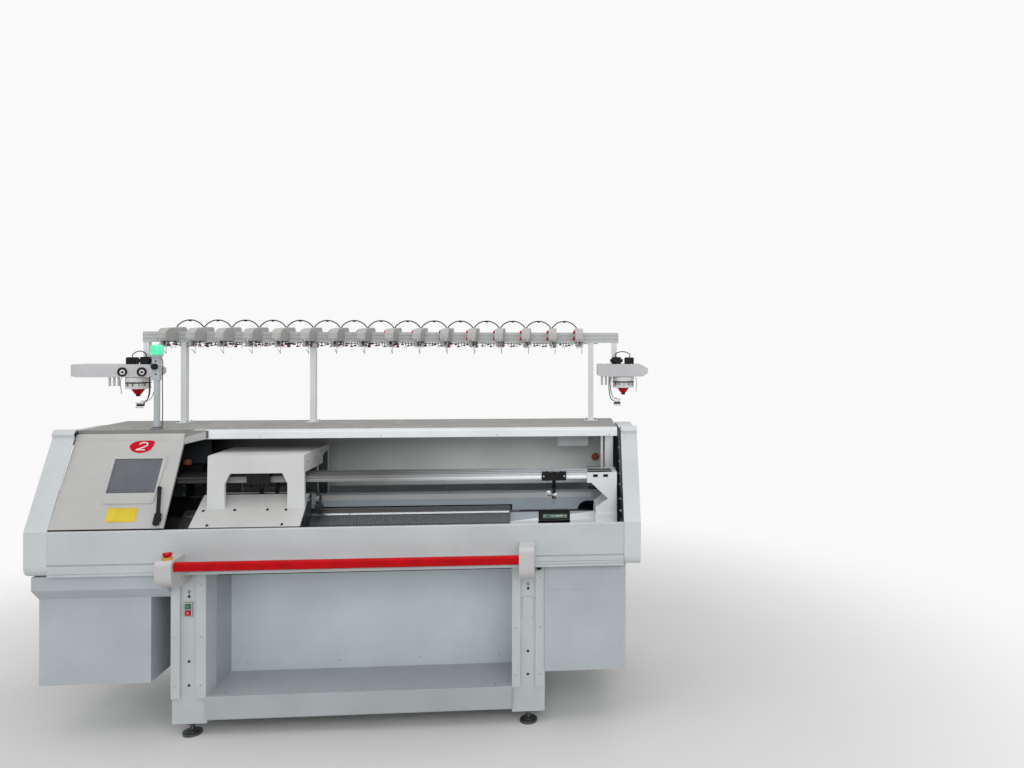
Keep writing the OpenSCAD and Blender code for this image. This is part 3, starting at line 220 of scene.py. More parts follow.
def rubbery(name, colour, rough=0.7, sheen=0.15):
    """Black rubber or plastic with lint on it and little shine."""
    mat, tree, shader = new_material(name)
    vector = coords(tree)
    lint = map_range(tree, noise(tree, vector, 240.0, 3.0, 0.8), 0.62, 0.74)
    base = mix(tree, map_range(tree, noise(tree, vector, 11.0), 0.35, 0.65), colour,
               tuple(c * 1.6 + 0.002 for c in colour))
    base = mix(tree, multiply(tree, lint, 0.16), base, (0.22, 0.22, 0.23))
    surface(tree, shader, base,
            map_range(tree, noise(tree, vector, 30.0), 0.3, 0.7, rough - 0.12, rough + 0.12))
    shader.inputs["Specular IOR Level"].default_value = sheen
    bump(tree, noise(tree, vector, 500.0, 3.0), 0.0002, shader, 0.5)
    return mat


def glossy(name, colour, rough=0.22, coat=0.4, sheen=0.5):
    """Smooth coloured plastic or enamel with fine scratches."""
    mat, tree, shader = new_material(name)
    vector = coords(tree)
    base = mix(tree, map_range(tree, noise(tree, vector, 16.0, 5.0), 0.35, 0.7), colour,
               tuple(c * 0.80 for c in colour))
    scratch = map_range(tree, noise(tree, coords(tree, (1.0, 9.0, 9.0)), 60.0, 6.0, 0.7), 0.66, 0.74)
    base = mix(tree, multiply(tree, scratch, 0.12), base, tuple(min(1.0, c * 1.10 + 0.05) for c in colour))
    surface(tree, shader, base,
            map_range(tree, noise(tree, vector, 25.0, 5.0), 0.3, 0.7, rough - 0.06, rough + 0.14))
    shader.inputs["Coat Weight"].default_value = coat
    shader.inputs["Specular IOR Level"].default_value = sheen
    bump(tree, noise(tree, vector, 700.0, 2.0), 0.00006, shader, 0.4)
    return mat


def screen_material():
    """Dim touch screen: slate glass with a faint wash and finger marks."""
    mat, tree, shader = new_material("screen")
    vector = coords(tree)
    wash = map_range(tree, noise(tree, vector, 5.0, 3.0), 0.35, 0.65)
    base = mix(tree, wash, (0.085, 0.092, 0.110), (0.120, 0.128, 0.148))
    marks = map_range(tree, noise(tree, vector, 42.0, 6.0, 0.7), 0.60, 0.72)
    base = mix(tree, multiply(tree, marks, 0.12), base, (0.150, 0.160, 0.180))
    surface(tree, shader, base, map_range(tree, marks, 0.0, 1.0, 0.16, 0.42))
    bump(tree, noise(tree, vector, 300.0, 2.0), 0.00002, shader, 0.3)
    return mat


def lens_material():
    """Lit green lamp lens with moulded rings."""
    mat, tree, shader = new_material("lamp_lens")
    vector = coords(tree)
    base = mix(tree, map_range(tree, noise(tree, vector, 30.0), 0.3, 0.7),
               (0.015, 0.560, 0.230), (0.120, 0.700, 0.430))
    link(tree, base, shader.inputs["Base Color"])
    link(tree, base, shader.inputs["Emission Color"])
    shader.inputs["Emission Strength"].default_value = 0.50
    shader.inputs["Roughness"].default_value = 0.25
    wave = tree.nodes.new("ShaderNodeTexWave")
    wave.bands_direction = "Z"
    wave.inputs["Scale"].default_value = 60.0
    link(tree, vector, wave.inputs["Vector"])
    bump(tree, wave.outputs["Fac"], 0.0006, shader, 0.6)
    return mat


CHIP = (0.25, 0.26, 0.27)
LIGHT_CHIP = (0.40, 0.41, 0.42)
CASTING_CHIP = (0.25, 0.24, 0.22)

M = {
    "white": painted("white_paint", (0.530, 0.570, 0.585), 0.40, chip=CHIP),
    "cabinet": painted("cabinet_paint", (0.450, 0.495, 0.525), 0.42, dirt=0.3, chip=CHIP),
    "shell": painted("white_shell", (0.590, 0.625, 0.640), 0.46, 0.0002, dirt=0.22),
    # Control panel: its own warmer grey, partly painted shade, darker than the shell because its up-facing
    # slope catches more light
    "panel": painted("panel_shell", (0.455, 0.460, 0.450), 0.44, 0.0002, dirt=0.25),
    "casting": painted("white_casting", (0.660, 0.675, 0.665), 0.50, 0.0003, dirt=0.30, chip=CASTING_CHIP),
    "cam_box": painted("cam_box_casting", (0.500, 0.510, 0.500), 0.50, 0.0003, dirt=0.35, chip=CASTING_CHIP),
    "warm": painted("warm_plastic", (0.520, 0.525, 0.525), 0.48, 0.0002, dirt=0.35),
    "grey": painted("grey_paint", (0.420, 0.455, 0.475), 0.45, chip=CHIP),
    # Painted shade: the bed casting's paint turns near black at its left end, beside the carriage
    "blue_grey": shade_left(painted("blue_grey_paint", (0.330, 0.390, 0.440), 0.42, dirt=0.3),
                            (0.012, 0.014, 0.016), -0.740, -0.660),
    "bay": painted("bay_paint", (0.600, 0.680, 0.720), 0.44, dirt=0.2),
    # Rear upper panels: near-white paint that makes up for the shade they lie in (painted light), darkening
    # to near black towards the left end (painted shade)
    "mid_grey": shade_left(painted("mid_grey_paint", (0.940, 0.960, 0.960), 0.46, dirt=0.3),
                           (0.040, 0.048, 0.054), -0.85, 0.55),
    # Painted light: a lighter copy of the grey paint for the rear lower cover, which lies in shade
    "rear_cover": painted("rear_cover", (0.640, 0.690, 0.710), 0.45, chip=CHIP),
    "dark": painted("dark_paint", (0.020, 0.022, 0.025), 0.60, dirt=0.2, chip=(0.25, 0.25, 0.25)),
    "table": painted("table_paint", (0.225, 0.222, 0.212), 0.55, dirt=0.6, dust=0.4, chip=(0.45, 0.45, 0.45)),
    "trim_white": painted("trim_white", (0.790, 0.825, 0.840), 0.36, dirt=0.3, chip=LIGHT_CHIP),
    "grey_plastic": painted("grey_plastic", (0.400, 0.400, 0.395), 0.55, 0.0003, dirt=0.45),
    "store": painted("store_plastic", (0.560, 0.555, 0.575), 0.50, 0.0003, dirt=0.45),
    "rail_white": painted("rail_white", (0.500, 0.520, 0.515), 0.40, dirt=0.3, chip=LIGHT_CHIP),
    "bed": metal("bed_steel", (0.110, 0.116, 0.122), 0.42, (60.0, 3.0, 3.0), 0.55),
    "steel": metal("bright_steel", (0.560, 0.570, 0.580), 0.24),
    "dark_steel": metal("dark_steel", (0.150, 0.155, 0.165), 0.40, (12.0, 12.0, 12.0)),
    "aluminium": metal("aluminium", (0.560, 0.570, 0.580), 0.34, (1.5, 70.0, 70.0), 0.12),
    # Painted reflection and shade on the feeder rails: near white at the right end, greyer towards the left,
    # near black at the left end
    "rail_metal": shade_left(
        shade_left(painted("rail_metal", (0.780, 0.810, 0.850), 0.34, dirt=0.25, metallic=0.25),
                   (0.210, 0.215, 0.215), 0.15, 0.85), (0.010, 0.012, 0.014), -0.640, -0.560),
    "needle": metal("needle_steel", (0.150, 0.158, 0.166), 0.40, (40.0, 3.0, 3.0), 0.45),
    "board_green": painted("board_green", (0.055, 0.120, 0.085), 0.40, dirt=0.4),
    "rubber": rubbery("black_rubber", (0.009, 0.009, 0.010)),
    "black": rubbery("black_plastic", (0.006, 0.006, 0.007), 0.5),
    # Near black with little shine; on the cam box tops and on the racking arch it is painted shade
    "hollow": rubbery("dark_hollow", (0.003, 0.003, 0.004), 0.8, 0.05),
    "red_paint": glossy("red_paint", (0.540, 0.002, 0.006), 0.46, 0.0, 0.12),
    "red": glossy("red_plastic", (0.560, 0.002, 0.016), 0.44, 0.0, 0.12),
    "dusty_red": glossy("dusty_red", (0.260, 0.045, 0.055), 0.55, 0.0, 0.2),
    "yellow": glossy("yellow_plastic", (0.700, 0.300, 0.030), 0.35, 0.1),
    "label_yellow": glossy("label_yellow", (0.700, 0.540, 0.020), 0.40, 0.0),
    "green": glossy("green_plastic", (0.025, 0.160, 0.090), 0.35, 0.1),
    "orange": glossy("orange_plastic", (0.480, 0.120, 0.040), 0.45, 0.0),
    "badge_rim": glossy("badge_rim", (0.640, 0.420, 0.440), 0.40, 0.0),
    "digit_white": glossy("digit_white", (0.740, 0.740, 0.740), 0.40, 0.0),
    # Blue wall paint, lightened for the shade the wall lies in (painted light), darkening to near black
    # towards the left end (painted shade)
    "wall_blue": shade_left(painted("wall_blue", (0.620, 0.720, 0.790), 0.38, dirt=0.3),
                            (0.012, 0.016, 0.020), -0.740, -0.560),
    # Painted reflection: a lighter copy of the wall paint for the wall's upper band, darkening to near black
    # towards the left end as painted shade
    "wall_painted_reflection": shade_left(painted("wall_painted_reflection", (0.900, 0.930, 0.950), 0.36, dirt=0.25),
                              (0.012, 0.016, 0.020), -0.740, -0.560),
    "deck_white": painted("deck_white", (0.740, 0.765, 0.775), 0.42, dirt=0.30),
    "slate": painted("slate_plastic", (0.026, 0.034, 0.041), 0.50, dirt=0.3),
    # Painted shade for the back of the bridge's hollow
    "bridge_painted_shade": painted("bridge_painted_shade", (0.050, 0.058, 0.066), 0.50, dirt=0.3),
    "screen": screen_material(),
    "lens": lens_material(),
}

NODE_MATERIALS = {
    "white": ["left_stand", "right_stand", "front_cover"],
    "cabinet": ["left_cabinet", "right_cabinet"],
    "panel": ["control_panel"],
    "trim_white": ["table_trim"],
    "rail_metal": ["feeder_rails"],
    "shell": ["left_end_housing", "right_end_housing", "junction_box"],
    "casting": ["carriage_bridge"],
    "cam_box": ["front_cam_box", "rear_cam_box"],
    "deck_white": ["rail_brackets", "rail_posts"],
    "warm": ["left_bar_bracket", "right_bar_bracket"],
    "grey": ["cloth_tray", "lower_beams", "bay_side_panels"],
    "rear_cover": ["rear_lower_cover"],
    "blue_grey": ["bed_casting"],
    "bay": ["bay_back_panel"],
    "mid_grey": ["rear_upper_panels"],
    "dark": ["left_side_plate", "main_motor"],
    "table": ["table_top"],
    "grey_plastic": ["tension_units", "switch_plate"],
    "store": ["storage_feeders"],
    "rail_white": ["yarn_rail"],
    "bed": ["front_needle_bed", "rear_needle_bed"],
    "steel": ["guide_rails", "pressure_roller"],
    "dark_steel": ["levelling_feet", "brush_unit"],
    "aluminium": ["table_posts", "drive_pulley", "idler_pulley", "left_storage_drum",
                  "right_storage_drum"],
    "rubber": ["drive_belt", "take_down_roller", "tension_cables"],
    "hollow": ["right_side_plate"],
    "black": ["yarn_feeder_front", "yarn_feeder_middle", "yarn_feeder_rear", "feeder_selector",
              "panel_latch"],
    "red_paint": ["start_bar"],
    "red": ["estop_button", "off_button", "number_badge"],
    "yellow": ["estop_ring"],
    "green": ["on_button"],
    "screen": ["touch_screen"],
    "lens": ["status_lamp"],
}
for key, names in NODE_MATERIALS.items():
    for name in names:
        mesh = nodes[name].data
        mesh.materials.clear()
        mesh.materials.append(M[key])


def repaint(name, key, test):
    """Gives another material to the faces of a node whose centre and normal pass a test."""
    mesh = nodes[name].data
    mesh.materials.append(M[key])
    slot = len(mesh.materials) - 1
    for face in mesh.polygons:
        if test(face.center, face.normal):
            face.material_index = slot


REPAINTS = (
    ("status_lamp", "grey", lambda c, n: c.z < LAMP_LENS_Z - 0.001),
    ("front_cam_box", "dark_steel", lambda c, n: abs(n.x) > 0.9 or c.z < 0.985),
    ("rear_cam_box", "dark_steel", lambda c, n: abs(n.x) > 0.9 or c.z < 0.985),
    ("bed_casting", "deck_white", lambda c, n: c.x > 0.768 and c.z > 0.955 and c.y < depth(0.40)),
    ("bed_casting", "black", lambda c, n: (0.900 < c.x < 1.065 and depth(0.065) < c.y < depth(0.275)
                                           and 0.935 < c.z < 0.961)),
    ("bed_casting", "wall_blue", lambda c, n: c.y > depth(0.44) and c.z > 0.93 and n.y < -0.5),
    # Painted shade: the cam boxes' tops under the bridge turn near black
    ("front_cam_box", "hollow", lambda c, n: n.z > 0.9 and c.z > 1.100),
    ("rear_cam_box", "hollow", lambda c, n: n.z > 0.9 and c.z > 1.100),
    ("rear_upper_panels", "cabinet", lambda c, n: n.y > 0.5),
    # Painted shade: the undersides inside the bridge turn black
    ("carriage_bridge", "black", lambda c, n: c.z < 1.235 and n.z < -0.5 and c.y > depth(0.120)),
    # Painted shade: the faces at the back of the bridge's hollow turn near black
    ("carriage_bridge", "bridge_painted_shade", lambda c, n: c.y > depth(0.125) and n.y < -0.5 and c.z < 1.300),
)
for row in REPAINTS:
    repaint(*row)


# Mesh building

LEFT = (-1, 0, 0)
RIGHT = (1, 0, 0)
REAR = (0, 1, 0)
FRONT = (0, -1, 0)
UP = (0, 0, 1)
DOWN = (0, 0, -1)


def at(x, d, z):
    """Point at a place along the machine, a depth behind the front cover and a height."""
    return x, depth(d), z


def new_bm():
    return bmesh.new()


def finish_mesh(name, bm, material, body="frame"):
    """Turns a bmesh into a shaded object that rides on a body; bmesh positions are in metres."""
    bmesh.ops.recalc_face_normals(bm, faces=bm.faces)
    mesh = bpy.data.meshes.new(name)
    bm.to_mesh(mesh)
    bm.free()
    mesh.materials.append(M[material])
    mesh.shade_smooth()
    mesh.set_sharp_from_angle(angle=math.radians(32.0))
    item = bpy.data.objects.new(name, mesh)
    bpy.context.scene.collection.objects.link(item)
    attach(item, body)
    return item


def add_box(bm, low, high, bevel=0.0006, turn=None):
    """Box with bevelled edges; turn is a matrix applied to it."""
    made = bmesh.ops.create_cube(bm, size=1.0)["verts"]
    low, high = Vector(low), Vector(high)
    for vert in made:
        vert.co = Vector(((vert.co[i] + 0.5) * (high[i] - low[i]) + low[i]) for i in range(3))
    if bevel:
        width = min(bevel, 0.45 * min(abs(high[i] - low[i]) for i in range(3)))
        edges = list(dict.fromkeys(edge for vert in made for edge in vert.link_edges))
        faces = bmesh.ops.bevel(bm, geom=edges, offset=width, segments=2, affect="EDGES",
                                clamp_overlap=True)["faces"]
        made = list(dict.fromkeys([v for f in faces for v in f.verts] + [v for v in made if v.is_valid]))
    if turn:
        bmesh.ops.transform(bm, matrix=turn, verts=made)


def add_blocks(bm, *rows):
    """Boxes; a row is x, depth and height of both corners, then the bevel."""
    for row in rows:
        add_box(bm, at(*row[:3]), at(*row[3:6]), *row[6:])


def block_piece(name, material, *rows, body="frame"):
    """Piece that is made of boxes only."""
    bm = new_bm()
    add_blocks(bm, *rows)
    finish_mesh(name, bm, material, body)


def axes_to(normal):
    """Rotation that takes +Z to a direction."""
    return Vector(UP).rotation_difference(Vector(normal).normalized()).to_matrix().to_4x4()


def circle(steps):
    """Angles of even steps round a circle."""
    return [2 * math.pi * i / steps for i in range(steps)]


def skin(bm, rings):
    """Closed body through rings of points that have the same count."""
    rings = [[bm.verts.new(point) for point in ring] for ring in rings]
    for lower, upper in zip(rings, rings[1:]):
        for i in range(len(lower)):
            j = (i + 1) % len(lower)
            bm.faces.new([lower[i], lower[j], upper[j], upper[i]])
    bm.faces.new(rings[0])
    bm.faces.new(rings[-1])


def add_lathe(bm, profile, place, normal=UP, steps=20):
    """Turned form; profile is (radius, height) from the base up along normal."""
    turn = Matrix.Translation(place) @ axes_to(normal)
    rings = []
    for radius, height in profile:
        if radius:
            rings.append([bm.verts.new(turn @ Vector((radius * math.cos(a), radius * math.sin(a), height)))
                          for a in circle(steps)])
        else:
            rings.append([bm.verts.new(turn @ Vector((0, 0, height)))])
    for lower, upper in zip(rings, rings[1:]):
        for i in range(steps):
            j = (i + 1) % steps
            loop = [ring[k % len(ring)] for ring, k in ((lower, i), (lower, j), (upper, j), (upper, i))]
            bm.faces.new(list(dict.fromkeys(loop)))
    for ring in (rings[0], rings[-1]):
        if len(ring) > 2:
            bm.faces.new(ring)


def lathe_piece(name, material, profile, place, normal=UP, steps=20, body="frame"):
    """Piece that is one turned form."""
    bm = new_bm()
    add_lathe(bm, profile, place, normal, steps)
    finish_mesh(name, bm, material, body)


def add_tube(bm, points, radius, steps=8):
    """Round wire along points, with flat ends."""
    points = [Vector(p) for p in points]
    rings = []
    side = None
    for i, point in enumerate(points):
        ahead = (points[min(i + 1, len(points) - 1)] - points[max(i - 1, 0)]).normalized()
        side = side or ahead.orthogonal().normalized()
        side = (side - ahead * side.dot(ahead)).normalized()
        up = ahead.cross(side)
        rings.append([point + (side * math.cos(a) + up * math.sin(a)) * radius for a in circle(steps)])
    skin(bm, rings)


def add_torus(bm, place, normal, radius, thick, steps=24, around=8):
    """Ring round normal; thick is the radius of its own section."""
    turn = Matrix.Translation(place) @ axes_to(normal)
    rings = [[bm.verts.new(turn @ Vector(((radius + thick * math.cos(b)) * math.cos(a),
                                          (radius + thick * math.cos(b)) * math.sin(a),
                                          thick * math.sin(b)))) for b in circle(around)]
             for a in circle(steps)]
    for one, two in zip(rings, rings[1:] + rings[:1]):
        for k in range(around):
            bm.faces.new([one[k], two[k], two[(k + 1) % around], one[(k + 1) % around]])


def add_socket_screw(bm, place, normal, radius, head=0.6):
    """Cap screw with a socket, standing head * radius proud of place."""
    high = radius * head
    add_lathe(bm, [(radius, 0), (radius, high * 0.75), (radius * 0.86, high), (radius * 0.5, high),
                   (radius * 0.46, high * 0.35), (0, high * 0.3)], place, normal, 12)


def add_dome_screw(bm, place, normal, radius):
    """Pan head screw with a small recess."""
    add_lathe(bm, [(radius, 0), (radius * 0.96, radius * 0.22), (radius * 0.7, radius * 0.42),
                   (radius * 0.22, radius * 0.5), (radius * 0.16, radius * 0.28), (0, radius * 0.24)],
              place, normal, 12)


def add_domes(bm, xs, ds, zs, normal, radius):
    """Pan head screws at every mix of places along the machine, depths and heights."""
    for x in xs:
        for d in ds:
            for z in zs:
                add_dome_screw(bm, at(x, d, z), normal, radius)


def arc_points(centre, radius, a0, a1, count, u, v):
    """Points on an arc in the plane of u and v; angles in degrees."""
    centre, u, v = Vector(centre), Vector(u), Vector(v)
    return [centre + u * (radius * math.cos(a)) + v * (radius * math.sin(a))
            for a in (math.radians(a0 + (a1 - a0) * i / (count - 1)) for i in range(count))]


def smooth_path(points, per=6, closed=False):
    """Catmull-Rom curve through points."""
    points = [Vector(p) for p in points]
    if closed:
        ends = points[-1:] + points + points[:2]
    else:
        ends = [points[0] * 2 - points[1]] + points + [points[-1] * 2 - points[-2]]
    path = []
    for p0, p1, p2, p3 in zip(ends, ends[1:], ends[2:], ends[3:]):
        for i in range(per):
            t = i / per
            path.append(0.5 * ((2 * p1) + (p2 - p0) * t + (2 * p0 - 5 * p1 + 4 * p2 - p3) * t * t
                               + (3 * p1 - p0 - 3 * p2 + p3) * t * t * t))
    return path if closed else path + points[-1:]


def smooth_tube(bm, points, radius, steps=8, per=6):
    add_tube(bm, smooth_path(points, per), radius, steps)


def add_plate(bm, turn, thick, soft, outline_at):
    """Plate along a matrix's Z with a softened rim; outline_at gives the outline, drawn in by a distance."""
    skin(bm, [[turn @ Vector((x, y, z)) for x, y in outline_at(inset)]
              for inset, z in ((0, 0), (0, thick - soft), (soft, thick))])


def rounded_plate(bm, turn, width, height, thick, radius, steps=5, soft=0.0006):
    """Plate with round corners, centred on the matrix."""
    outline = []
    for cx, cy, a0 in ((1, 1, 0), (-1, 1, 90), (-1, -1, 180), (1, -1, 270)):
        for i in range(steps + 1):
            a = math.radians(a0 + 90 * i / steps)
            outline.append((cx * (width / 2 - radius) + radius * math.cos(a),
                            cy * (height / 2 - radius) + radius * math.sin(a)))
    add_plate(bm, turn, thick, soft, lambda inset: [
        (x * (1 - inset / (width / 2)), y * (1 - inset / (height / 2))) for x, y in outline])


def ribbon(bm, turn, path, half, thick):
    """Raised line of even width along an open path."""
    rows = []
    for i, point in enumerate(path):
        ahead = (path[min(i + 1, len(path) - 1)] - path[max(i - 1, 0)]).normalized()
        across = Vector((-ahead.y, ahead.x)) * half
        rows.append([bm.verts.new(turn @ Vector((*(point + across * side), z)))
                     for side in (1, -1) for z in (0, thick)])
    for a, b in zip(rows, rows[1:]):
        bm.faces.new([a[1], b[1], b[3], a[3]])
        bm.faces.new([a[0], b[0], b[1], a[1]])
        bm.faces.new([a[2], a[3], b[3], b[2]])
    for row in (rows[0], rows[-1]):
        bm.faces.new([row[0], row[1], row[3], row[2]])


def axis_frame(place, x_axis, y_axis, z_axis):
    """Matrix at a place with the given axes."""
    return Matrix.Translation(place) @ Matrix((x_axis, y_axis, z_axis)).transposed().to_4x4()


# Needle beds

BED_SLOPE = math.radians(40)
THROAT_DEPTH = 0.210
THROAT_Z = 1.026
BED_LEFT_X = -0.795
BED_RIGHT_X = 0.765
NEEDLE_COUNT = 390
# Stem and butt: width, length, height, distance down the face and height above it
NEEDLE_BOXES = ((0.0011, 0.136, 0.0026, 0.075, 0.0008), (0.0012, 0.005, 0.0044, 0.098, 0.0030))


def needle_bed(name, side, body):
    """Needles, their butts and the bright strips that hold them; side is 1 at the rear, -1 in front."""
    down = Vector((0, side * math.cos(BED_SLOPE), -math.sin(BED_SLOPE)))
    out = Vector((0, side * math.sin(BED_SLOPE), math.cos(BED_SLOPE)))
    across = down.cross(out)
    face = axis_frame(at(0, THROAT_DEPTH + side * 0.0055, THROAT_Z), across, down, out)
    sign = across.x
    pitch = (BED_RIGHT_X - BED_LEFT_X - 0.016) / NEEDLE_COUNT
    needles = new_bm()
    for i in range(NEEDLE_COUNT):
        x = sign * (BED_LEFT_X + 0.008 + pitch * (i + 0.5))
        push = 0.0015 * math.sin(i * 1.7) * math.sin(i * 0.23)
        for wide, long, tall, y, z in NEEDLE_BOXES:
            for vert in bmesh.ops.create_cube(needles, size=1.0)["verts"]:
                vert.co = face @ Vector((x + vert.co.x * wide, y + push + vert.co.y * long,
                                         z + vert.co.z * tall))
    finish_mesh(name + "_needles", needles, "needle", body)
    strips = new_bm()
    for low, high in ((0.030, 0.041), (0.128, 0.139)):
        for x0, x1 in ((BED_LEFT_X + 0.004, -0.012), (-0.010, BED_RIGHT_X - 0.004)):
            a, b = sorted((sign * x0, sign * x1))
            add_box(strips, (a, low, 0.0022), (b, high, 0.0048), 0.0006, face)
    finish_mesh(name + "_strips", strips, "steel", body)
    edge = new_bm()
    a, b = sorted((sign * (BED_LEFT_X + 0.004), sign * (BED_RIGHT_X - 0.004)))
    add_box(edge, (a, 0.0010, 0.0004), (b, 0.0070, 0.0034), 0.0006, face)
    finish_mesh(name + "_edge", edge, "dark_steel", body)


needle_bed("front_bed", -1, "frame")
needle_bed("rear_bed", 1, "rear_bed")


# Leaning panel and the casting's ridge beside the bed

def slope(foot, run, rise):
    """Placer on a face that rises towards the rear from foot, a depth and a height.

    It takes x, the distance up the face and the distance out of it, and gives a matrix with
    X along the machine, Y up the face and Z out of it.
    """
    up, away = Vector((0, run, rise)), Vector((0, -rise, run))

    def place(x, along, out=0.0):
        y = depth(foot[0] + along * run) - out * rise
        return axis_frame((x, y, foot[1] + along * rise + out * run), Vector(RIGHT), up, away)
    return place


RIDGE_SLOPE = math.radians(40)
on_panel = slope((0.0, COVER_TOP_Z), math.sin(LEAN), math.cos(LEAN))
on_ridge = slope((0.1615, 0.9620), math.cos(RIDGE_SLOPE), math.sin(RIDGE_SLOPE))
RIDGE_OUT = Vector((0, -math.sin(RIDGE_SLOPE), math.cos(RIDGE_SLOPE)))

# The badge is a rounded shield; its points are (x, distance up the panel) from its middle

BADGE_PLACE = (-0.986, 0.405)
BADGE_OUTLINE = [(-0.004, 0.0295), (0.034, 0.0305), (0.048, 0.0275), (0.0535, 0.0190), (0.0490, -0.0030),
                 (0.0370, -0.0200), (0.0120, -0.0295), (-0.0140, -0.0310), (-0.0410, -0.0210),
                 (-0.0560, -0.0030), (-0.0550, 0.0100), (-0.0420, 0.0215), (-0.0260, 0.0275)]
FIGURE_TOP = [(-0.0140, 0.0105), (-0.0050, 0.0185), (0.0120, 0.0200), (0.0225, 0.0140), (0.0210, 0.0050),
              (0.0020, -0.0055), (-0.0235, -0.0160)]
FIGURE_FOOT = [(-0.0250, -0.0165), (0.0165, -0.0165)]
LABEL_PLACE = (-0.997, 0.0740)


def shield(name, material, thick, grow=0.0):
    """Plate with the badge's outline, moved outwards by grow."""
    outline = smooth_path(BADGE_OUTLINE, 4, True)
    middle = sum(outline, Vector((0, 0))) / len(outline)
    bm = new_bm()
    add_plate(bm, on_panel(*BADGE_PLACE, 0.0001), thick, 0.0004, lambda inset: [
        point + (point - middle).normalized() * (grow - inset) for point in outline])
    return finish_mesh(name, bm, material)


def panel_details():
    """Badge, and the blank label plate with its rim."""
    shield("badge_rim", "badge_rim", 0.0014, 0.0022)
    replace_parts(shield("badge_face", "red", 0.0020), "number_badge")
    figure = new_bm()
    turn = on_panel(*BADGE_PLACE, 0.0021)
    ribbon(figure, turn, [p.to_2d() for p in smooth_path([(*p, 0) for p in FIGURE_TOP], 5)], 0.0030, 0.0007)
    ribbon(figure, turn, [Vector(p) for p in FIGURE_FOOT], 0.0029, 0.0008)
    finish_mesh("badge_figure", figure, "digit_white")
    x, up = LABEL_PLACE
    label = new_bm()
    rounded_plate(label, on_panel(x, up, 0.0002), 0.132, 0.066, 0.0012, 0.004)
    finish_mesh("panel_label", label, "label_yellow")
    rim = new_bm()
    for along, rise, width, height in ((0.0, 0.0290, 0.124, 0.0016), (0.0, -0.0290, 0.124, 0.0016),
                                       (0.0612, 0.0, 0.0016, 0.058), (-0.0612, 0.0, 0.0016, 0.058)):
        rounded_plate(rim, on_panel(x + along, up + rise, 0.0013), width, height, 0.0003, 0.0007, 2, 0.0001)
    finish_mesh("panel_label_rim", rim, "yellow")


def deck_details():
    trim = new_bm()
    add_blocks(trim, (0.9075, 0.0710, 0.9405, 1.0605, 0.1600, 0.9430, 0.001))
    rounded_plate(trim, on_ridge(0.984, 0.0290, 0.0002), 0.156, 0.0540, 0.0016, 0.002)
    add_blocks(trim, (0.8000, 0.3450, 0.9622, 1.1540, 0.3755, 0.9695, 0.001))
    finish_mesh("deck_trim", trim, "black")
    plate = new_bm()
    rounded_plate(plate, on_ridge(0.988, 0.0235, 0.0020), 0.122, 0.0260, 0.0020, 0.002)
    finish_mesh("pocket_plate", plate, "board_green")
    screws = new_bm()
    rounded_plate(screws, on_ridge(0.998, 0.0235, 0.0041), 0.060, 0.0070, 0.0014, 0.002)
    for x in (0.937, 1.040):
        add_socket_screw(screws, on_ridge(x, 0.0235, 0.0040).translation, RIDGE_OUT, 0.0042)
    add_domes(screws, (0.790, 0.885, 1.085, 1.165), (0.090, 0.320), (0.962,), UP, 0.0050)
    finish_mesh("deck_screws", screws, "steel")
    block_piece("deck_covers", "deck_white", (1.0675, 0.064, 0.9622, 1.181, 0.158, 0.9640, 0.0008),
                (0.7745, 0.064, 0.9622, 0.9020, 0.158, 0.9636, 0.0008))


panel_details()
deck_details()


# Carriage: dark end plates, screws, selector blocks, the inside of the bridge and the brush

CAM_HALF = 0.249
CAM_NOSE = (0.014, 0.990)
CAM_TOP = (0.172, 1.110)
CAM_ANGLE = math.atan2(CAM_TOP[1] - CAM_NOSE[1], CAM_TOP[0] - CAM_NOSE[0])
CAM_OUT = Vector((0, -math.sin(CAM_ANGLE), math.cos(CAM_ANGLE)))
CAM_SECTION = [(0.016, 0.974), (0.016, 0.989), (0.171, 1.107), (0.192, 1.107), (0.192, 1.082),
               (0.184, 1.066), (0.184, 1.024), (0.123, 0.974)]
BRIDGE_X = CARRIAGE_X + 0.020
BRIDGE_HALF = 0.220
BRUSH_X = -0.200


def add_cam_screws(bm, places, radius):
    """Cap screws on the cam box's sloped face; places are (x, depth)."""
    for x, d in places:
        z = CAM_NOSE[1] + (d - CAM_NOSE[0]) * math.tan(CAM_ANGLE)
        add_socket_screw(bm, at(x, d, z), CAM_OUT, radius, 0.5)


def carriage_details():
    ends = new_bm()
    for side in (-1, 1):
        a = CARRIAGE_X + side * CAM_HALF
        skin(ends, [[at(x, d, z) for d, z in CAM_SECTION] for x in (a, a + side * 0.0012)])
    finish_mesh("cam_box_ends", ends, "dark_steel", "carriage")
    screws = new_bm()
    add_cam_screws(screws, ((-0.520, 0.095), (-0.370, 0.095), (-0.615, 0.024), (-0.280, 0.024)), 0.0062)
    for x in (-0.640, -0.575, -0.275, -0.210):
        add_socket_screw(screws, at(x, 0.0998, 1.012), FRONT, 0.0045, 0.5)
    for side in (-1, 1):
        for d, z in ((0.060, 0.996), (0.110, 1.020), (0.160, 1.070)):
            add_dome_screw(screws, at(CARRIAGE_X + side * (CAM_HALF + 0.0012), d, z), (side, 0, 0), 0.0055)
    finish_mesh("cam_box_screws", screws, "black", "carriage")
    inner = BRIDGE_HALF - 0.052
    block_piece("bridge_shade", "black",
                (BRIDGE_X - inner, 0.1185, 1.214, BRIDGE_X + inner, 0.1215, 1.2225, 0.0005), body="carriage")


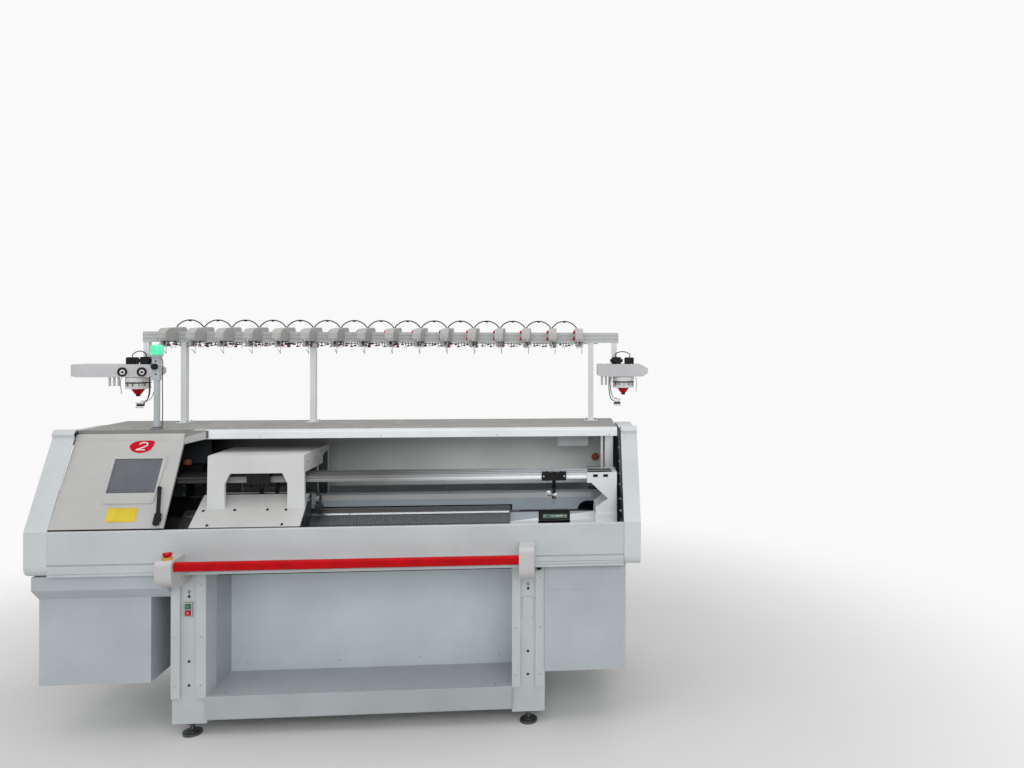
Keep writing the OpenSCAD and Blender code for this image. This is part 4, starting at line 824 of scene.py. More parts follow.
def selector_details():
    """Black solenoid blocks that drive the feeder pins, under the bridge."""
    blocks = new_bm()
    for i in range(4):
        d = 0.135 + 0.05 * i
        for x in (BRIDGE_X - 0.029, BRIDGE_X + 0.029):
            add_blocks(blocks, (x - 0.024, d - 0.017, 1.2120, x + 0.024, d + 0.017, 1.2185, 0.0012))
    for x in (BRIDGE_X - 0.135, BRIDGE_X + 0.105):
        add_blocks(blocks, (x - 0.032, 0.150, 1.2120, x + 0.032, 0.205, 1.2228, 0.002))
    finish_mesh("selector_blocks", blocks, "black", "carriage")
    screws = new_bm()
    for x in (BRIDGE_X - 0.045, BRIDGE_X, BRIDGE_X + 0.045):
        add_lathe(screws, [(0.006, 0), (0.006, 0.0016), (0.004, 0.0024), (0.0, 0.0024)],
                  at(x, 0.1268, 1.246), FRONT, 14)
    finish_mesh("selector_screws", screws, "steel", "carriage")


def bridge_details():
    screws = new_bm()
    add_domes(screws, (BRIDGE_X - 0.170, BRIDGE_X + 0.170), (0.290, 0.380), (1.308,), UP, 0.0045)
    for side in (-1, 1):
        x = BRIDGE_X + side * BRIDGE_HALF
        add_domes(screws, (x,), (0.150, 0.260, 0.360), (1.270,), (side, 0, 0), 0.0055)
    finish_mesh("bridge_screws", screws, "steel", "carriage")
    lead = new_bm()
    smooth_tube(lead, [at(BRIDGE_X + 0.150, 0.300, 1.286), at(BRIDGE_X + 0.158, 0.345, 1.270),
                       at(BRIDGE_X + 0.150, 0.392, 1.250), at(BRIDGE_X + 0.140, 0.398, 1.225)], 0.0030)
    finish_mesh("bridge_lead", lead, "black", "carriage")


def brush_details():
    """Wheel and bristles of the brush on the carriage's right side."""
    lathe_piece("brush_hub", "steel", [(0.0125, 0), (0.0125, 0.0040), (0.0100, 0.0060), (0.0050, 0.0062),
                                       (0.0045, 0.0050), (0, 0.0050)],
                at(BRUSH_X + 0.0015, 0.142, 1.088), RIGHT, 18, "carriage")
    bristles = new_bm()
    for i in range(26):
        y = depth(0.128 + 0.030 * (i % 13) / 12)
        x = BRUSH_X - 0.014 + 0.005 * (i // 13)
        tip = (x + 0.001 * math.sin(i * 2.1), y + 0.0012 * math.cos(i * 1.3), 1.0475)
        add_tube(bristles, [(x, y, 1.0665), tip], 0.0007, 5)
    finish_mesh("brush_bristles", bristles, "black", "carriage")


carriage_details()
selector_details()
bridge_details()
brush_details()


# Feeder rails and feeders

RAIL_DEPTHS = (0.135, 0.185, 0.235, 0.285)
RAIL_Z = 1.202
RAIL_LEFT = -1.060
RAIL_RIGHT = 1.146
FRONT_FEEDER_X = 0.982


def rail_details():
    slots = new_bm()
    left, right = RAIL_LEFT + 0.002, RAIL_RIGHT - 0.002
    for d in RAIL_DEPTHS:
        add_blocks(slots, (left, d - 0.00535, RAIL_Z - 0.0052, right, d - 0.00495, RAIL_Z - 0.0036, 0.0),
                   (left, d - 0.0012, RAIL_Z - 0.0001, right, d + 0.0012, RAIL_Z + 0.0001, 0.0))
    finish_mesh("rail_slots", slots, "dark")


def feeder_details(name, index, x, body):
    """Steel tip, ceramic eyes, clamp screws, yarn guide and knobs of one feeder."""
    d = RAIL_DEPTHS[index]
    tip = 0.210 + (index - 1.5) * 0.007
    steel = new_bm()
    add_lathe(steel, [(0.0032, 0.0), (0.0032, 0.0040), (0.0029, 0.0060), (0.0029, 0.0140), (0.0, 0.0140)],
              at(x, tip, 1.052), UP, 14)
    for side in (-1, 1):
        add_socket_screw(steel, at(x + side * 0.050, d - 0.0125, RAIL_Z - 0.014), FRONT, 0.0040, 0.5)
        add_dome_screw(steel, at(x + side * 0.020, d, RAIL_Z + 0.0055), UP, 0.0042)
    add_tube(steel, arc_points(at(x - 0.030, d, RAIL_Z - 0.042), 0.0075, 0, 335, 18, REAR, UP), 0.0011, 6)
    finish_mesh(name + "_metal", steel, "steel", body)
    eyes = new_bm()
    add_torus(eyes, at(x, tip, 1.0514), UP, 0.0021, 0.0010, 18, 8)
    add_torus(eyes, at(x - 0.012, tip - 0.0030, 1.0825), REAR, 0.0052, 0.0010, 18, 8)
    finish_mesh(name + "_eyes", eyes, "digit_white", body)
    knobs = new_bm()
    for side in (-1, 1):
        add_lathe(knobs, [(0.0060, 0), (0.0060, 0.0022), (0.0048, 0.0030), (0.0, 0.0030)],
                  at(x + side * 0.034, d, RAIL_Z + 0.0055), UP, 14)
    finish_mesh(name + "_knobs", knobs, "rubber", body)


rail_details()
feeder_details("front_feeder", 0, FRONT_FEEDER_X, "feeder_front")
feeder_details("middle_feeder", 1, CARRIAGE_X + 0.008, "feeder_middle")
feeder_details("rear_feeder", 2, CARRIAGE_X + 0.078, "feeder_rear")


# Tension units: red knobs, discs, springs, guide eyes and the small parts that hang under them

UNIT_PITCH = 0.141
UNIT_X = [-1.002 + UNIT_PITCH * i for i in range(16)]
UNIT_FRONT = 0.400
CABLE_RADIUS = 0.080
CABLE_HALF_ANGLE = math.radians(58)
POST_X = (-0.970, -0.312, 1.167)
RAIL_DEPTH = 0.550
RAIL_MID_Z = 1.870
RAIL_ENDS_X = (-1.160, 1.330)
KNOB = [(0.0050, 0), (0.0085, 0.0012), (0.0088, 0.0090), (0.0078, 0.0110), (0.0030, 0.0116), (0.0, 0.0108)]
DISC = [(0.0125, 0.0), (0.0125 * 1.04, 0.0008), (0.0125 * 0.90, 0.0022), (0.0125 * 0.30, 0.0030),
        (0.0125 * 0.30, 0.0070), (0.0, 0.0070)]
HANGER_CAP = [(0.0045, 0.0), (0.0080, 0.0010), (0.0082, 0.0075), (0.0060, 0.0095), (0.0, 0.0095)]
HANGER_DISC = [(0.0040, 0.0), (0.0108, 0.0008), (0.0112, 0.0024), (0.0050, 0.0034), (0.0, 0.0034)]
HOOK_KNOB = [(0.0060, 0.0), (0.0085, 0.0012), (0.0080, 0.0060), (0.0, 0.0072)]


def tension_details():
    knobs, steel, eyes, beads = new_bm(), new_bm(), new_bm(), new_bm()
    for i, x in enumerate(UNIT_X):
        left = x - 0.021
        for d, z in ((0.445, RAIL_MID_Z + 0.029), (0.452, RAIL_MID_Z - 0.006)):
            add_lathe(knobs, KNOB, at(left, d, z), LEFT, 18)
        for d in (0.485, 0.515):
            add_lathe(steel, DISC, at(left, d, RAIL_MID_Z + 0.012), LEFT, 18)
        for k in range(3):
            d = UNIT_FRONT + 0.018 + 0.028 * k
            add_torus(eyes, at(x - 0.008, d, RAIL_MID_Z - 0.0495), UP, 0.0058, 0.0019, 14, 6)
            add_lathe(steel, [(0.0115, 0), (0.0122, 0.0006), (0.0050, 0.0018), (0.0, 0.0018)],
                      at(x - 0.008, d, RAIL_MID_Z - 0.0395), DOWN, 16)
        wave = 0.004 * math.sin(i * 1.9)
        smooth_tube(steel, [at(x + 0.010, UNIT_FRONT + 0.006, RAIL_MID_Z + 0.012),
                            at(x + 0.012, UNIT_FRONT - 0.020, RAIL_MID_Z + 0.010 + wave),
                            at(x + 0.010, UNIT_FRONT - 0.034, RAIL_MID_Z - 0.014 + wave),
                            at(x + 0.004, UNIT_FRONT - 0.030, RAIL_MID_Z - 0.040 + wave)], 0.0010, 6, 5)
        eye = at(x + 0.004, UNIT_FRONT - 0.030, RAIL_MID_Z - 0.0445 + wave)
        add_torus(steel, eye, (0.3, 1, 0), 0.0042, 0.0009, 14, 5)
        add_tube(steel, [at(x + dx, UNIT_FRONT + 0.020, RAIL_MID_Z - dz)
                         for dx, dz in ((0.014, 0.020), (0.020, 0.034), (0.008, 0.046))], 0.0010, 6)
        for d in (0.470, 0.590):
            add_dome_screw(steel, at(x, d, RAIL_MID_Z + 0.046 + (d - 0.434) * 0.045), UP, 0.0040)
        if i < len(UNIT_X) - 1:
            top = RAIL_MID_Z + 0.0521 + CABLE_RADIUS * (1 - math.cos(CABLE_HALF_ANGLE))
            add_lathe(beads, [(0.0042, -0.007), (0.0052, -0.005), (0.0052, 0.005), (0.0042, 0.007)],
                      at(x + 0.0635, 0.570, top - 0.0024), RIGHT, 12)
    finish_mesh("tension_knobs", knobs, "red")
    finish_mesh("tension_steel", steel, "steel")
    finish_mesh("tension_eyes", eyes, "digit_white")
    finish_mesh("cable_beads", beads, "black")


def rail_and_post_details():
    low, high = RAIL_MID_Z - 0.0265, RAIL_MID_Z + 0.0265
    left, right = RAIL_ENDS_X
    block_piece("rail_end_caps", "grey_plastic", (left - 0.0012, 0.5365, low, left, 0.5635, high, 0.0004),
                (right, 0.5365, low, right + 0.0012, 0.5635, high, 0.0004))
    bolts = new_bm()
    for x in POST_X:
        for dx in (-0.010, 0.038):
            for d in (0.526, 0.574):
                add_socket_screw(bolts, at(x + dx, d, TABLE_Z + 0.006), UP, 0.0045, 0.9)
        add_domes(bolts, (x + 0.014,), (0.565,), (RAIL_MID_Z - 0.016, RAIL_MID_Z + 0.016), REAR, 0.0060)
    finish_mesh("post_bolts", bolts, "dark_steel")


def hanger_details():
    red, black, steel = new_bm(), new_bm(), new_bm()

    def hang(x, d, top, drop, radius, body, profile, up):
        """Pin with a turned part at its end, and a disc part way up."""
        add_lathe(steel, [(radius, 0.0), (radius, drop)], at(x, d, top), DOWN, 8)
        add_lathe(body, profile, at(x, d, top - drop), DOWN, 14)
        add_lathe(black, HANGER_DISC, at(x, d, up), DOWN, 14)
    for i, x in enumerate(UNIT_X):
        for k in range(4):
            top = RAIL_MID_Z - 0.0200
            drop = 0.010 + 0.003 * ((i * 2 + k * 3) % 4)
            hang(x + (0.011 if (i + k) % 2 else -0.002), 0.428 + 0.027 * k, top, drop, 0.0026,
                 red if k % 2 else black, HANGER_CAP if k % 2 else HANGER_DISC, top - 0.004)
        for k in range(3):
            top = RAIL_MID_Z + 0.0280
            drop = 0.064 + 0.005 * ((i + 2 * k) % 3)
            side = -0.010 + 0.010 * ((i + k) % 3)
            hang(x + side, 0.578 + 0.020 * k, top, drop, 0.0024,
                 black if k == 1 else red, HANGER_DISC if k == 1 else HANGER_CAP, top - drop + 0.007)
        low = RAIL_MID_Z - 0.044
        smooth_tube(steel, [at(x + 0.020, 0.500, RAIL_MID_Z - 0.020), at(x + 0.024, 0.505, low),
                            at(x + 0.010, 0.512, low - 0.010), at(x - 0.006, 0.516, low - 0.003)],
                    0.0012, 6, 4)
        ring = arc_points(at(x - 0.006, 0.516, low - 0.008), 0.0052, 0, 340, 12, RIGHT, UP)
        add_tube(steel, ring, 0.0010, 5)
    finish_mesh("hanger_caps", red, "dusty_red")
    finish_mesh("hanger_discs", black, "black")
    finish_mesh("hanger_pins", steel, "dark_steel")


def rail_hook_details():
    """Small eyes and knobs screwed under the yarn rail between the units, and the lead clipped there."""
    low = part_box("yarn_rail")[0].z
    dark, pale, red = new_bm(), new_bm(), new_bm()
    for i, x in enumerate(UNIT_X[:-1]):
        for k in range(5):
            place = x + 0.042 + 0.0155 * k
            d = 0.5410 + 0.0045 * ((i + 2 * k) % 4)
            drop = 0.0075 + 0.0035 * ((2 * i + 3 * k) % 4)
            add_lathe(dark, [(0.0022, -0.0010), (0.0022, drop)], at(place, d, low), DOWN, 8)
            kind = (i + k) % 3
            if kind == 0:
                add_torus(pale, at(place, d, low - drop - 0.0050), (0.2, 1, 0), 0.0052, 0.0014, 16, 6)
            else:
                add_lathe(red if kind == 1 else dark, HOOK_KNOB, at(place, d, low - drop), DOWN, 14)
    smooth_tube(dark, [at(UNIT_X[0] + i * UNIT_PITCH / 4, 0.5380, low - 0.0022 - 0.0016 * (i % 3))
                       for i in range(len(UNIT_X) * 4)], 0.0019, 7, 3)
    finish_mesh("rail_hooks_dark", dark, "black")
    finish_mesh("rail_hooks_pale", pale, "digit_white")
    finish_mesh("rail_hooks_red", red, "dusty_red")


tension_details()
rail_and_post_details()


# Storage feeders at both ends of the yarn rail

STORE_LOW_Z = 1.660
STORE_HIGH_Z = 1.727


def storage_details(name, drum_x, side, body):
    """Rings, cone, guides, discs and plugs; side is the direction away from the machine."""
    d, z = RAIL_DEPTH, STORE_LOW_Z

    def on_drum(bm, drop, steps, *profile):
        add_lathe(bm, profile, at(drum_x, d, z - drop), UP, steps)
    white = new_bm()
    on_drum(white, 0.0250, 36, (0.0546, 0), (0.0592, 0.0008), (0.0592, 0.0210), (0.0570, 0.0225),
            (0.0546, 0.0225))
    on_drum(white, 0.0620, 36, (0.0546, 0), (0.0588, 0.0008), (0.0588, 0.0130), (0.0546, 0.0140))
    finish_mesh(name + "_rings", white, "digit_white", body)
    black = new_bm()
    on_drum(black, 0.0340, 36, (0.0542, 0), (0.0598, 0.0010), (0.0598, 0.0060), (0.0542, 0.0070))
    for a in circle(12):
        x, y = drum_x + 0.0550 * math.cos(a), depth(d) + 0.0550 * math.sin(a)
        add_tube(black, [(x, y, z - 0.0480), (x, y, z - 0.0340)], 0.0018, 6)
    on_drum(black, 0.0905, 20, (0.0100, 0), (0.0110, -0.0010), (0.0110, -0.0100), (0.0060, -0.0120),
            (0, -0.0120))
    finish_mesh(name + "_band", black, "black", body)
    cone = new_bm()
    on_drum(cone, 0.0605, 28, (0.0345, 0), (0.0330, -0.0030), (0.0160, -0.0285), (0.0140, -0.0300),
            (0, -0.0302))
    finish_mesh(name + "_cone", cone, "red", body)
    wires = new_bm()
    near = drum_x - side * 0.066
    for y in (-0.020, 0.020):
        smooth_tube(wires, [(near, depth(d) + y, z + 0.004), (near - side * 0.004, depth(d) + y, z - 0.070),
                            (near + side * 0.012, depth(d) + y * 0.7, z - 0.118),
                            (near + side * 0.044, depth(d) + y * 0.2, z - 0.128)], 0.0017, 6)
    smooth_tube(wires, [at(drum_x + side * 0.062, d - 0.030, z + 0.010),
                        at(drum_x + side * 0.070, d - 0.036, z - 0.030),
                        at(drum_x + side * 0.068, d - 0.030, z - 0.075)], 0.0015, 6)
    finish_mesh(name + "_wires", wires, "dark_steel")
    guide_details(name, drum_x, side)
    eyes = new_bm()
    add_torus(eyes, at(near + side * 0.048, d, z - 0.128), UP, 0.0060, 0.0020, 18, 8)
    add_torus(eyes, at(drum_x + side * 0.068, d - 0.030, z - 0.081), RIGHT, 0.0055, 0.0018, 18, 8)
    for i in range(3):
        add_torus(eyes, at(drum_x - 0.120 + 0.022 * i, d - 0.040, z - 0.0450), UP, 0.0058, 0.0018, 16, 6)
    finish_mesh(name + "_eyes", eyes, "digit_white")
    plug_details(name, drum_x, side)


def guide_details(name, drum_x, side):
    """Bent arm under the body with a small block of ceramic guides."""
    d, z = RAIL_DEPTH, STORE_LOW_Z
    arm = new_bm()
    x = drum_x - side * 0.082
    block = x + side * 0.044
    smooth_tube(arm, [at(x, d - 0.053, z + 0.004), at(x, d - 0.053, z - 0.070),
                      at(x + side * 0.010, d - 0.054, z - 0.118), at(x + side * 0.030, d - 0.054, z - 0.134)],
                0.0026)
    add_blocks(arm, (block - 0.018, d - 0.058, z - 0.150, block + 0.018, d - 0.044, z - 0.132, 0.0015))
    finish_mesh(name + "_arm", arm, "black")
    guides = new_bm()
    for i in range(3):
        for drop in (0.0, -0.020):
            add_lathe(guides, [(0.0030, 0.0), (0.0056, 0.0012), (0.0056, 0.0048), (0.0030, 0.0060)],
                      at(block - 0.014 + 0.014 * i, d - 0.0585, z - 0.134 + drop), FRONT, 16)
    finish_mesh(name + "_guides", guides, "digit_white")


def plug_details(name, drum_x, side):
    """Adjusting discs on the face, plugs with their lead on the top and the lid's screws."""
    d, z = RAIL_DEPTH, STORE_HIGH_Z
    middle = drum_x - side * 0.030
    screws = new_bm()
    add_domes(screws, (middle - 0.090, middle, middle + 0.070), (d - 0.045, d + 0.045), (z,), UP, 0.0048)
    finish_mesh(name + "_screws", screws, "steel")
    rims, faces = new_bm(), new_bm()
    for x in (drum_x + side * 0.047, drum_x - side * 0.049):
        add_lathe(rims, [(0.0230, 0), (0.0236, 0.0010), (0.0236, 0.0060), (0.0215, 0.0080), (0.0150, 0.0080)],
                  at(x, d + side * 0.060, STORE_LOW_Z + 0.028), (0, side, 0), 32)
        add_lathe(faces, [(0.0150, 0.0), (0.0150, 0.0074), (0.0120, 0.0084), (0.0040, 0.0078), (0.0, 0.0078)],
                  at(x + 0.0030, d + side * 0.060, STORE_LOW_Z + 0.0270), (0, side, 0), 28)
    finish_mesh(name + "_disc_rims", rims, "black")
    finish_mesh(name + "_disc_faces", faces, "digit_white")
    plugs = new_bm()
    first, second = (drum_x - 0.018, drum_x + 0.050) if side < 0 else (drum_x + 0.030, drum_x - 0.040)
    add_blocks(plugs, (first - 0.025, d - 0.040, z - 0.001, first + 0.025, d - 0.002, z + 0.036, 0.0030),
               (second - 0.034, d - 0.044, z - 0.001, second + 0.034, d - 0.004, z + 0.038, 0.0100))
    top = z + 0.034
    bend = ((first, 0.0), (first + 0.004, 0.020), ((first + second) / 2, 0.034), (second - 0.004, 0.022),
            (second, 0.0))
    smooth_tube(plugs, [at(x, d - 0.020, top + rise) for x, rise in bend], 0.0024)
    finish_mesh(name + "_plugs", plugs, "black")


storage_details("left_store", -1.190, -1, "left_drum")
storage_details("right_store", 1.360, 1, "right_drum")


# Front: cover seams, brackets, stop button, switch plate, stands and cabinets

# Just inside the outer faces of the end housings
SIDE_X = 1.3995
# Places along the machine of the table's and the rear cover's screws, and of the stands
SCREW_ROW_X = (-1.15, -0.60, 0.0, 0.60, 1.15)
STAND_X = (-0.791, 0.783)


def cover_details():
    block_piece("cover_seams", "dark", (1.3178, -0.0002, 0.778, 1.3190, 0.010, 0.984, 0.0),
                (0.896, -0.0003, 0.8330, 1.3175, 0.0050, 0.8342, 0.0),
                (0.896, -0.0003, 0.8040, 1.3175, 0.0050, 0.8050, 0.0),
                (-1.299, -0.0003, 0.8330, -0.776, 0.0050, 0.8342, 0.0))
    lathe_piece("cover_knob", "black", [(0.0120, 0), (0.0135, 0.002), (0.0135, 0.014), (0.0110, 0.018),
                                        (0, 0.018)], at(0.912, 0.0585, 0.7635), FRONT, 18)
    screws = new_bm()
    add_domes(screws, (-1.24, -0.96, 0.95, 1.24), (-0.0001,), (0.7905,), FRONT, 0.0042)
    for side in (-1, 1):
        for d, z in ((0.110, 0.830), (0.360, 0.800), (0.560, 0.840), (0.240, 1.350), (0.600, 1.330)):
            add_dome_screw(screws, at(side * SIDE_X, d, z), (side, 0, 0), 0.0065)
    finish_mesh("cover_screws", screws, "steel")


def bracket_details():
    """Screws of the bar's brackets, and the stop button's bellows and arrows."""
    screws = new_bm()
    for x, side, low, high in ((-0.773, -1, 0.775, 0.860), (-0.703, 1, 0.775, 0.800),
                               (0.824, -1, 0.790, 0.800), (0.894, 1, 0.790, 0.885)):
        for z in (low, high):
            add_socket_screw(screws, at(x, -0.030, z), (side, 0, 0), 0.0045, 0.4)
    finish_mesh("bracket_screws", screws, "steel")
    low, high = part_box("estop_ring")
    x, y = (low[0] + high[0]) / 2, (low[1] + high[1]) / 2
    bellows = new_bm()
    add_torus(bellows, (x, y, high[2]), UP, 0.0125, 0.0008, 28, 8)
    finish_mesh("estop_bellows", bellows, "black")
    top = Vector((x, y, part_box("estop_button")[1][2] + 0.0002))
    marks = new_bm()
    for start in (0, 120, 240):
        path = arc_points(top, 0.0115, start, start + 70, 8, RIGHT, REAR)
        add_tube(marks, path, 0.0007, 5)
        tip = path[-1]
        ahead = (path[-1] - path[-2]).normalized()
        out = (tip - top).normalized()
        corners = [tip + ahead * 0.0045, tip + out * 0.0028, tip - out * 0.0028]
        marks.faces.new([marks.verts.new(c + Vector((0, 0, 0.0003))) for c in corners])
    finish_mesh("estop_marks", marks, "digit_white", "stop_button")


def switch_details():
    low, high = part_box("switch_plate")
    y = low[1]
    screws = new_bm()
    for x in (low[0] + 0.005, high[0] - 0.005):
        for z in (low[2] + 0.006, high[2] - 0.006):
            add_dome_screw(screws, (x, y, z), FRONT, 0.0026)
    finish_mesh("switch_screws", screws, "steel")
    frames = new_bm()
    for node, body in (("on_button", "power_on"), ("off_button", "power_off")):
        b_low, b_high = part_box(node)
        c = (b_low + b_high) / 2
        mark = new_bm()
        if node == "on_button":
            add_box(mark, (c.x - 0.0007, b_low.y - 0.0006, c.z - 0.0042),
                    (c.x + 0.0007, b_low.y + 0.0004, c.z + 0.0042), 0.0002)
        else:
            add_torus(mark, (c.x, b_low.y - 0.0001, c.z), REAR, 0.0036, 0.0006, 20, 6)
        finish_mesh(node + "_mark", mark, "digit_white", body)
        gap, tall = ((b_high[i] - b_low[i]) / 2 + 0.0012 for i in (0, 2))
        for x0, z0, x1, z1 in ((-gap, -tall, gap, -tall + 0.0010), (-gap, tall - 0.0010, gap, tall),
                               (-gap, -tall, -gap + 0.0010, tall), (gap - 0.0010, -tall, gap, tall)):
            add_box(frames, (c.x + x0, y - 0.0010, c.z + z0), (c.x + x1, y + 0.0004, c.z + z1), 0.0002)
    finish_mesh("switch_frames", frames, "black")


def stand_details():
    screws, holes = new_bm(), new_bm()
    for x0 in STAND_X:
        for x in (x0 + 0.016, x0 + 0.134):
            for z in (0.245, 0.470, 0.712):
                add_socket_screw(screws, at(x, 0.0600, z), FRONT, 0.0048, 0.4)
        for z in (0.240, 0.352, 0.655):
            add_lathe(holes, [(0.0060, 0), (0.0068, 0.0004), (0.0068, 0.0008), (0.0, 0.0008)],
                      at(x0 + 0.076, 0.0741, z), FRONT, 16)
        add_blocks(holes, (x0 + 0.0745, 0.0733, 0.652, x0 + 0.0775, 0.0742, 0.668, 0.0002))
    finish_mesh("stand_screws", screws, "steel")
    finish_mesh("stand_holes", holes, "dark")
    block_piece("stand_plate", "white", (0.832, 0.0705, 0.514, 0.886, 0.0738, 0.616, 0.0010))
    screws = new_bm()
    add_domes(screws, (0.839, 0.879), (0.0705,), (0.521, 0.609), FRONT, 0.0034)
    finish_mesh("stand_plate_screws", screws, "steel")


FOOT_TOUCH_Z = 0.0015
FOOT_SPREAD = 0.12


def foot_places():
    """Centres of the levelling feet, from the node's own points that lie on the floor."""
    groups = []
    for p in (v.co.copy() for v in nodes["levelling_feet"].data.vertices if v.co.z < FOOT_TOUCH_Z):
        near = [g for g in groups if (g[0] - p).length < FOOT_SPREAD]
        if near:
            near[0].append(p)
        else:
            groups.append([p])
    return [((min(p.x for p in g) + max(p.x for p in g)) / 2, (min(p.y for p in g) + max(p.y for p in g)) / 2)
            for g in groups]


def foot_details():
    threads = new_bm()
    for x, y in foot_places():
        for k in range(9):
            add_torus(threads, (x, y, 0.0250 + 0.0036 * k), UP, 0.0102, 0.0010, 20, 6)
        add_lathe(threads, [(0.0190, 0.0), (0.0196, 0.0008), (0.0196, 0.0092), (0.0190, 0.0100)],
                  (x, y, 0.0490), UP, 6)
    finish_mesh("foot_threads", threads, "dark_steel")


def cabinet_details():
    screws = new_bm()
    for name in ("left_cabinet", "right_cabinet"):
        low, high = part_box(name)
        for x in (low.x + 0.018, (low.x + high.x) / 2, high.x - 0.018):
            for z in (high.z - 0.040, low.z + 0.040):
                add_dome_screw(screws, (x, high.y, z), REAR, 0.0055)
    finish_mesh("cabinet_screws", screws, "steel")


cover_details()
bracket_details()
switch_details()
stand_details()
foot_details()
cabinet_details()


# Lamp, table, rear panels and housings

LAMP_R = 0.029
WALL_LEFT_X = -1.285
WALL_DEPTH = 0.4497
RACKING_X = 1.160
RACKING_Z = 0.944
BELT_TEETH = 150


def lamp_details():
    rings = new_bm()
    x, y = LAMP_X, depth(0.268)
    for k in range(4):
        add_torus(rings, (x, y, LAMP_LENS_Z + 0.0065 + 0.0097 * k), UP, LAMP_R, 0.0012, 36, 6)
    finish_mesh("lamp_rings", rings, "lens")
    lathe_piece("lamp_socket", "grey", [(0.0185, 0.0), (0.0262, 0.0010), (0.0262, 0.0090), (0.0230, 0.0100)],
                (x, y, LAMP_LENS_Z - 0.0110), UP, 30)
    screws = new_bm()
    for z in (1.7510, 1.6860):
        add_dome_screw(screws, (x, y - 0.0140, z), FRONT, 0.0040)
    add_lathe(screws, [(0.0125, 0.0), (0.0150, 0.0015), (0.0150, 0.0150), (0.0120, 0.0180), (0.0, 0.0180)],
              (x - 0.002, y - 0.0140, 1.7240), FRONT, 10)
    finish_mesh("lamp_screws", screws, "black")
    flange = new_bm()
    add_lathe(flange, [(0.0290, 0.0), (0.0290, 0.0030), (0.0240, 0.0050), (0.0160, 0.0120)],
              (x, y, TABLE_Z), UP, 30)
    for a in (math.radians(angle) for angle in (30, 150, 270)):
        place = (x + 0.0262 * math.cos(a), y + 0.0262 * math.sin(a), TABLE_Z + 0.0030)
        add_dome_screw(flange, place, UP, 0.0026)
    finish_mesh("lamp_flange", flange, "dark_steel")
    lead = new_bm()
    bend = ((0.012, 0.012, 1.772), (0.019, 0.016, 1.740), (0.017, 0.016, 1.640), (0.019, 0.016, 1.520),
            (0.017, 0.014, TABLE_Z + 0.002))
    smooth_tube(lead, [(x + dx, y + dy, z) for dx, dy, z in bend], 0.0022, 6)
    finish_mesh("lamp_lead", lead, "black")


def table_details():
    screws = new_bm()
    for x in (-0.447, 0.130, 0.698, 1.260):
        add_dome_screw(screws, (x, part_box("table_trim")[0].y, 1.3855), FRONT, 0.0042)
    add_domes(screws, SCREW_ROW_X, (0.245, 0.635), (TABLE_Z,), UP, 0.0048)
    finish_mesh("table_screws", screws, "steel")


def rear_panel_details():
    low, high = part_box("rear_upper_panels")
    front, back = low.y, depth(0.885)
    patch = new_bm()
    add_box(patch, (0.020, front - 0.0012, 1.2600), (0.086, front - 0.0002, 1.3040), 0.0004)
    finish_mesh("rear_patch", patch, "mid_grey")
    seam = new_bm()
    add_box(seam, (0.1110, front - 0.0010, 1.070), (0.1135, front - 0.0002, 1.370), 0.0003)
    add_box(seam, (-0.1815, front - 0.0006, 1.070), (-0.1785, front + 0.0040, 1.370), 0.0)
    finish_mesh("rear_seams", seam, "shell")
    knobs = new_bm()
    for x in (1.210, -0.985):
        add_lathe(knobs, [(0.0200, 0.0), (0.0215, 0.0020), (0.0215, 0.0060), (0.0170, 0.0090), (0.0, 0.0095)],
                  (x, front, 1.205), FRONT, 24)
    finish_mesh("rear_knobs", knobs, "orange")
    screws = new_bm()
    for x in (-1.20, -0.80, -0.40, 0.30, 0.70, 1.10):
        add_dome_screw(screws, (x, front, 1.355), FRONT, 0.0045)
        add_dome_screw(screws, (x, high.y - 0.0001, 1.068), UP, 0.0045)
    add_domes(screws, SCREW_ROW_X, (0.885,), (0.560, 0.730, 0.860), REAR, 0.0060)
    finish_mesh("rear_screws", screws, "steel")
    handles = new_bm()
    for x in (-0.75, 0.75):
        add_box(handles, (x - 0.060, back - 0.0035, 0.610), (x + 0.060, back - 0.0005, 0.670), 0.001)
        add_torus(handles, (x, back - 0.0010, 0.640), REAR, 0.0240, 0.0018, 28, 6)
    finish_mesh("rear_recess_handles", handles, "black")


def upright_plate(name, material, d0, d1, outline):
    """Plate that stands across the machine's depth; outline is (x, z)."""
    bm = new_bm()
    skin(bm, [[at(x, d, z) for x, z in outline] for d in (d0, d1)])
    finish_mesh(name, bm, material)


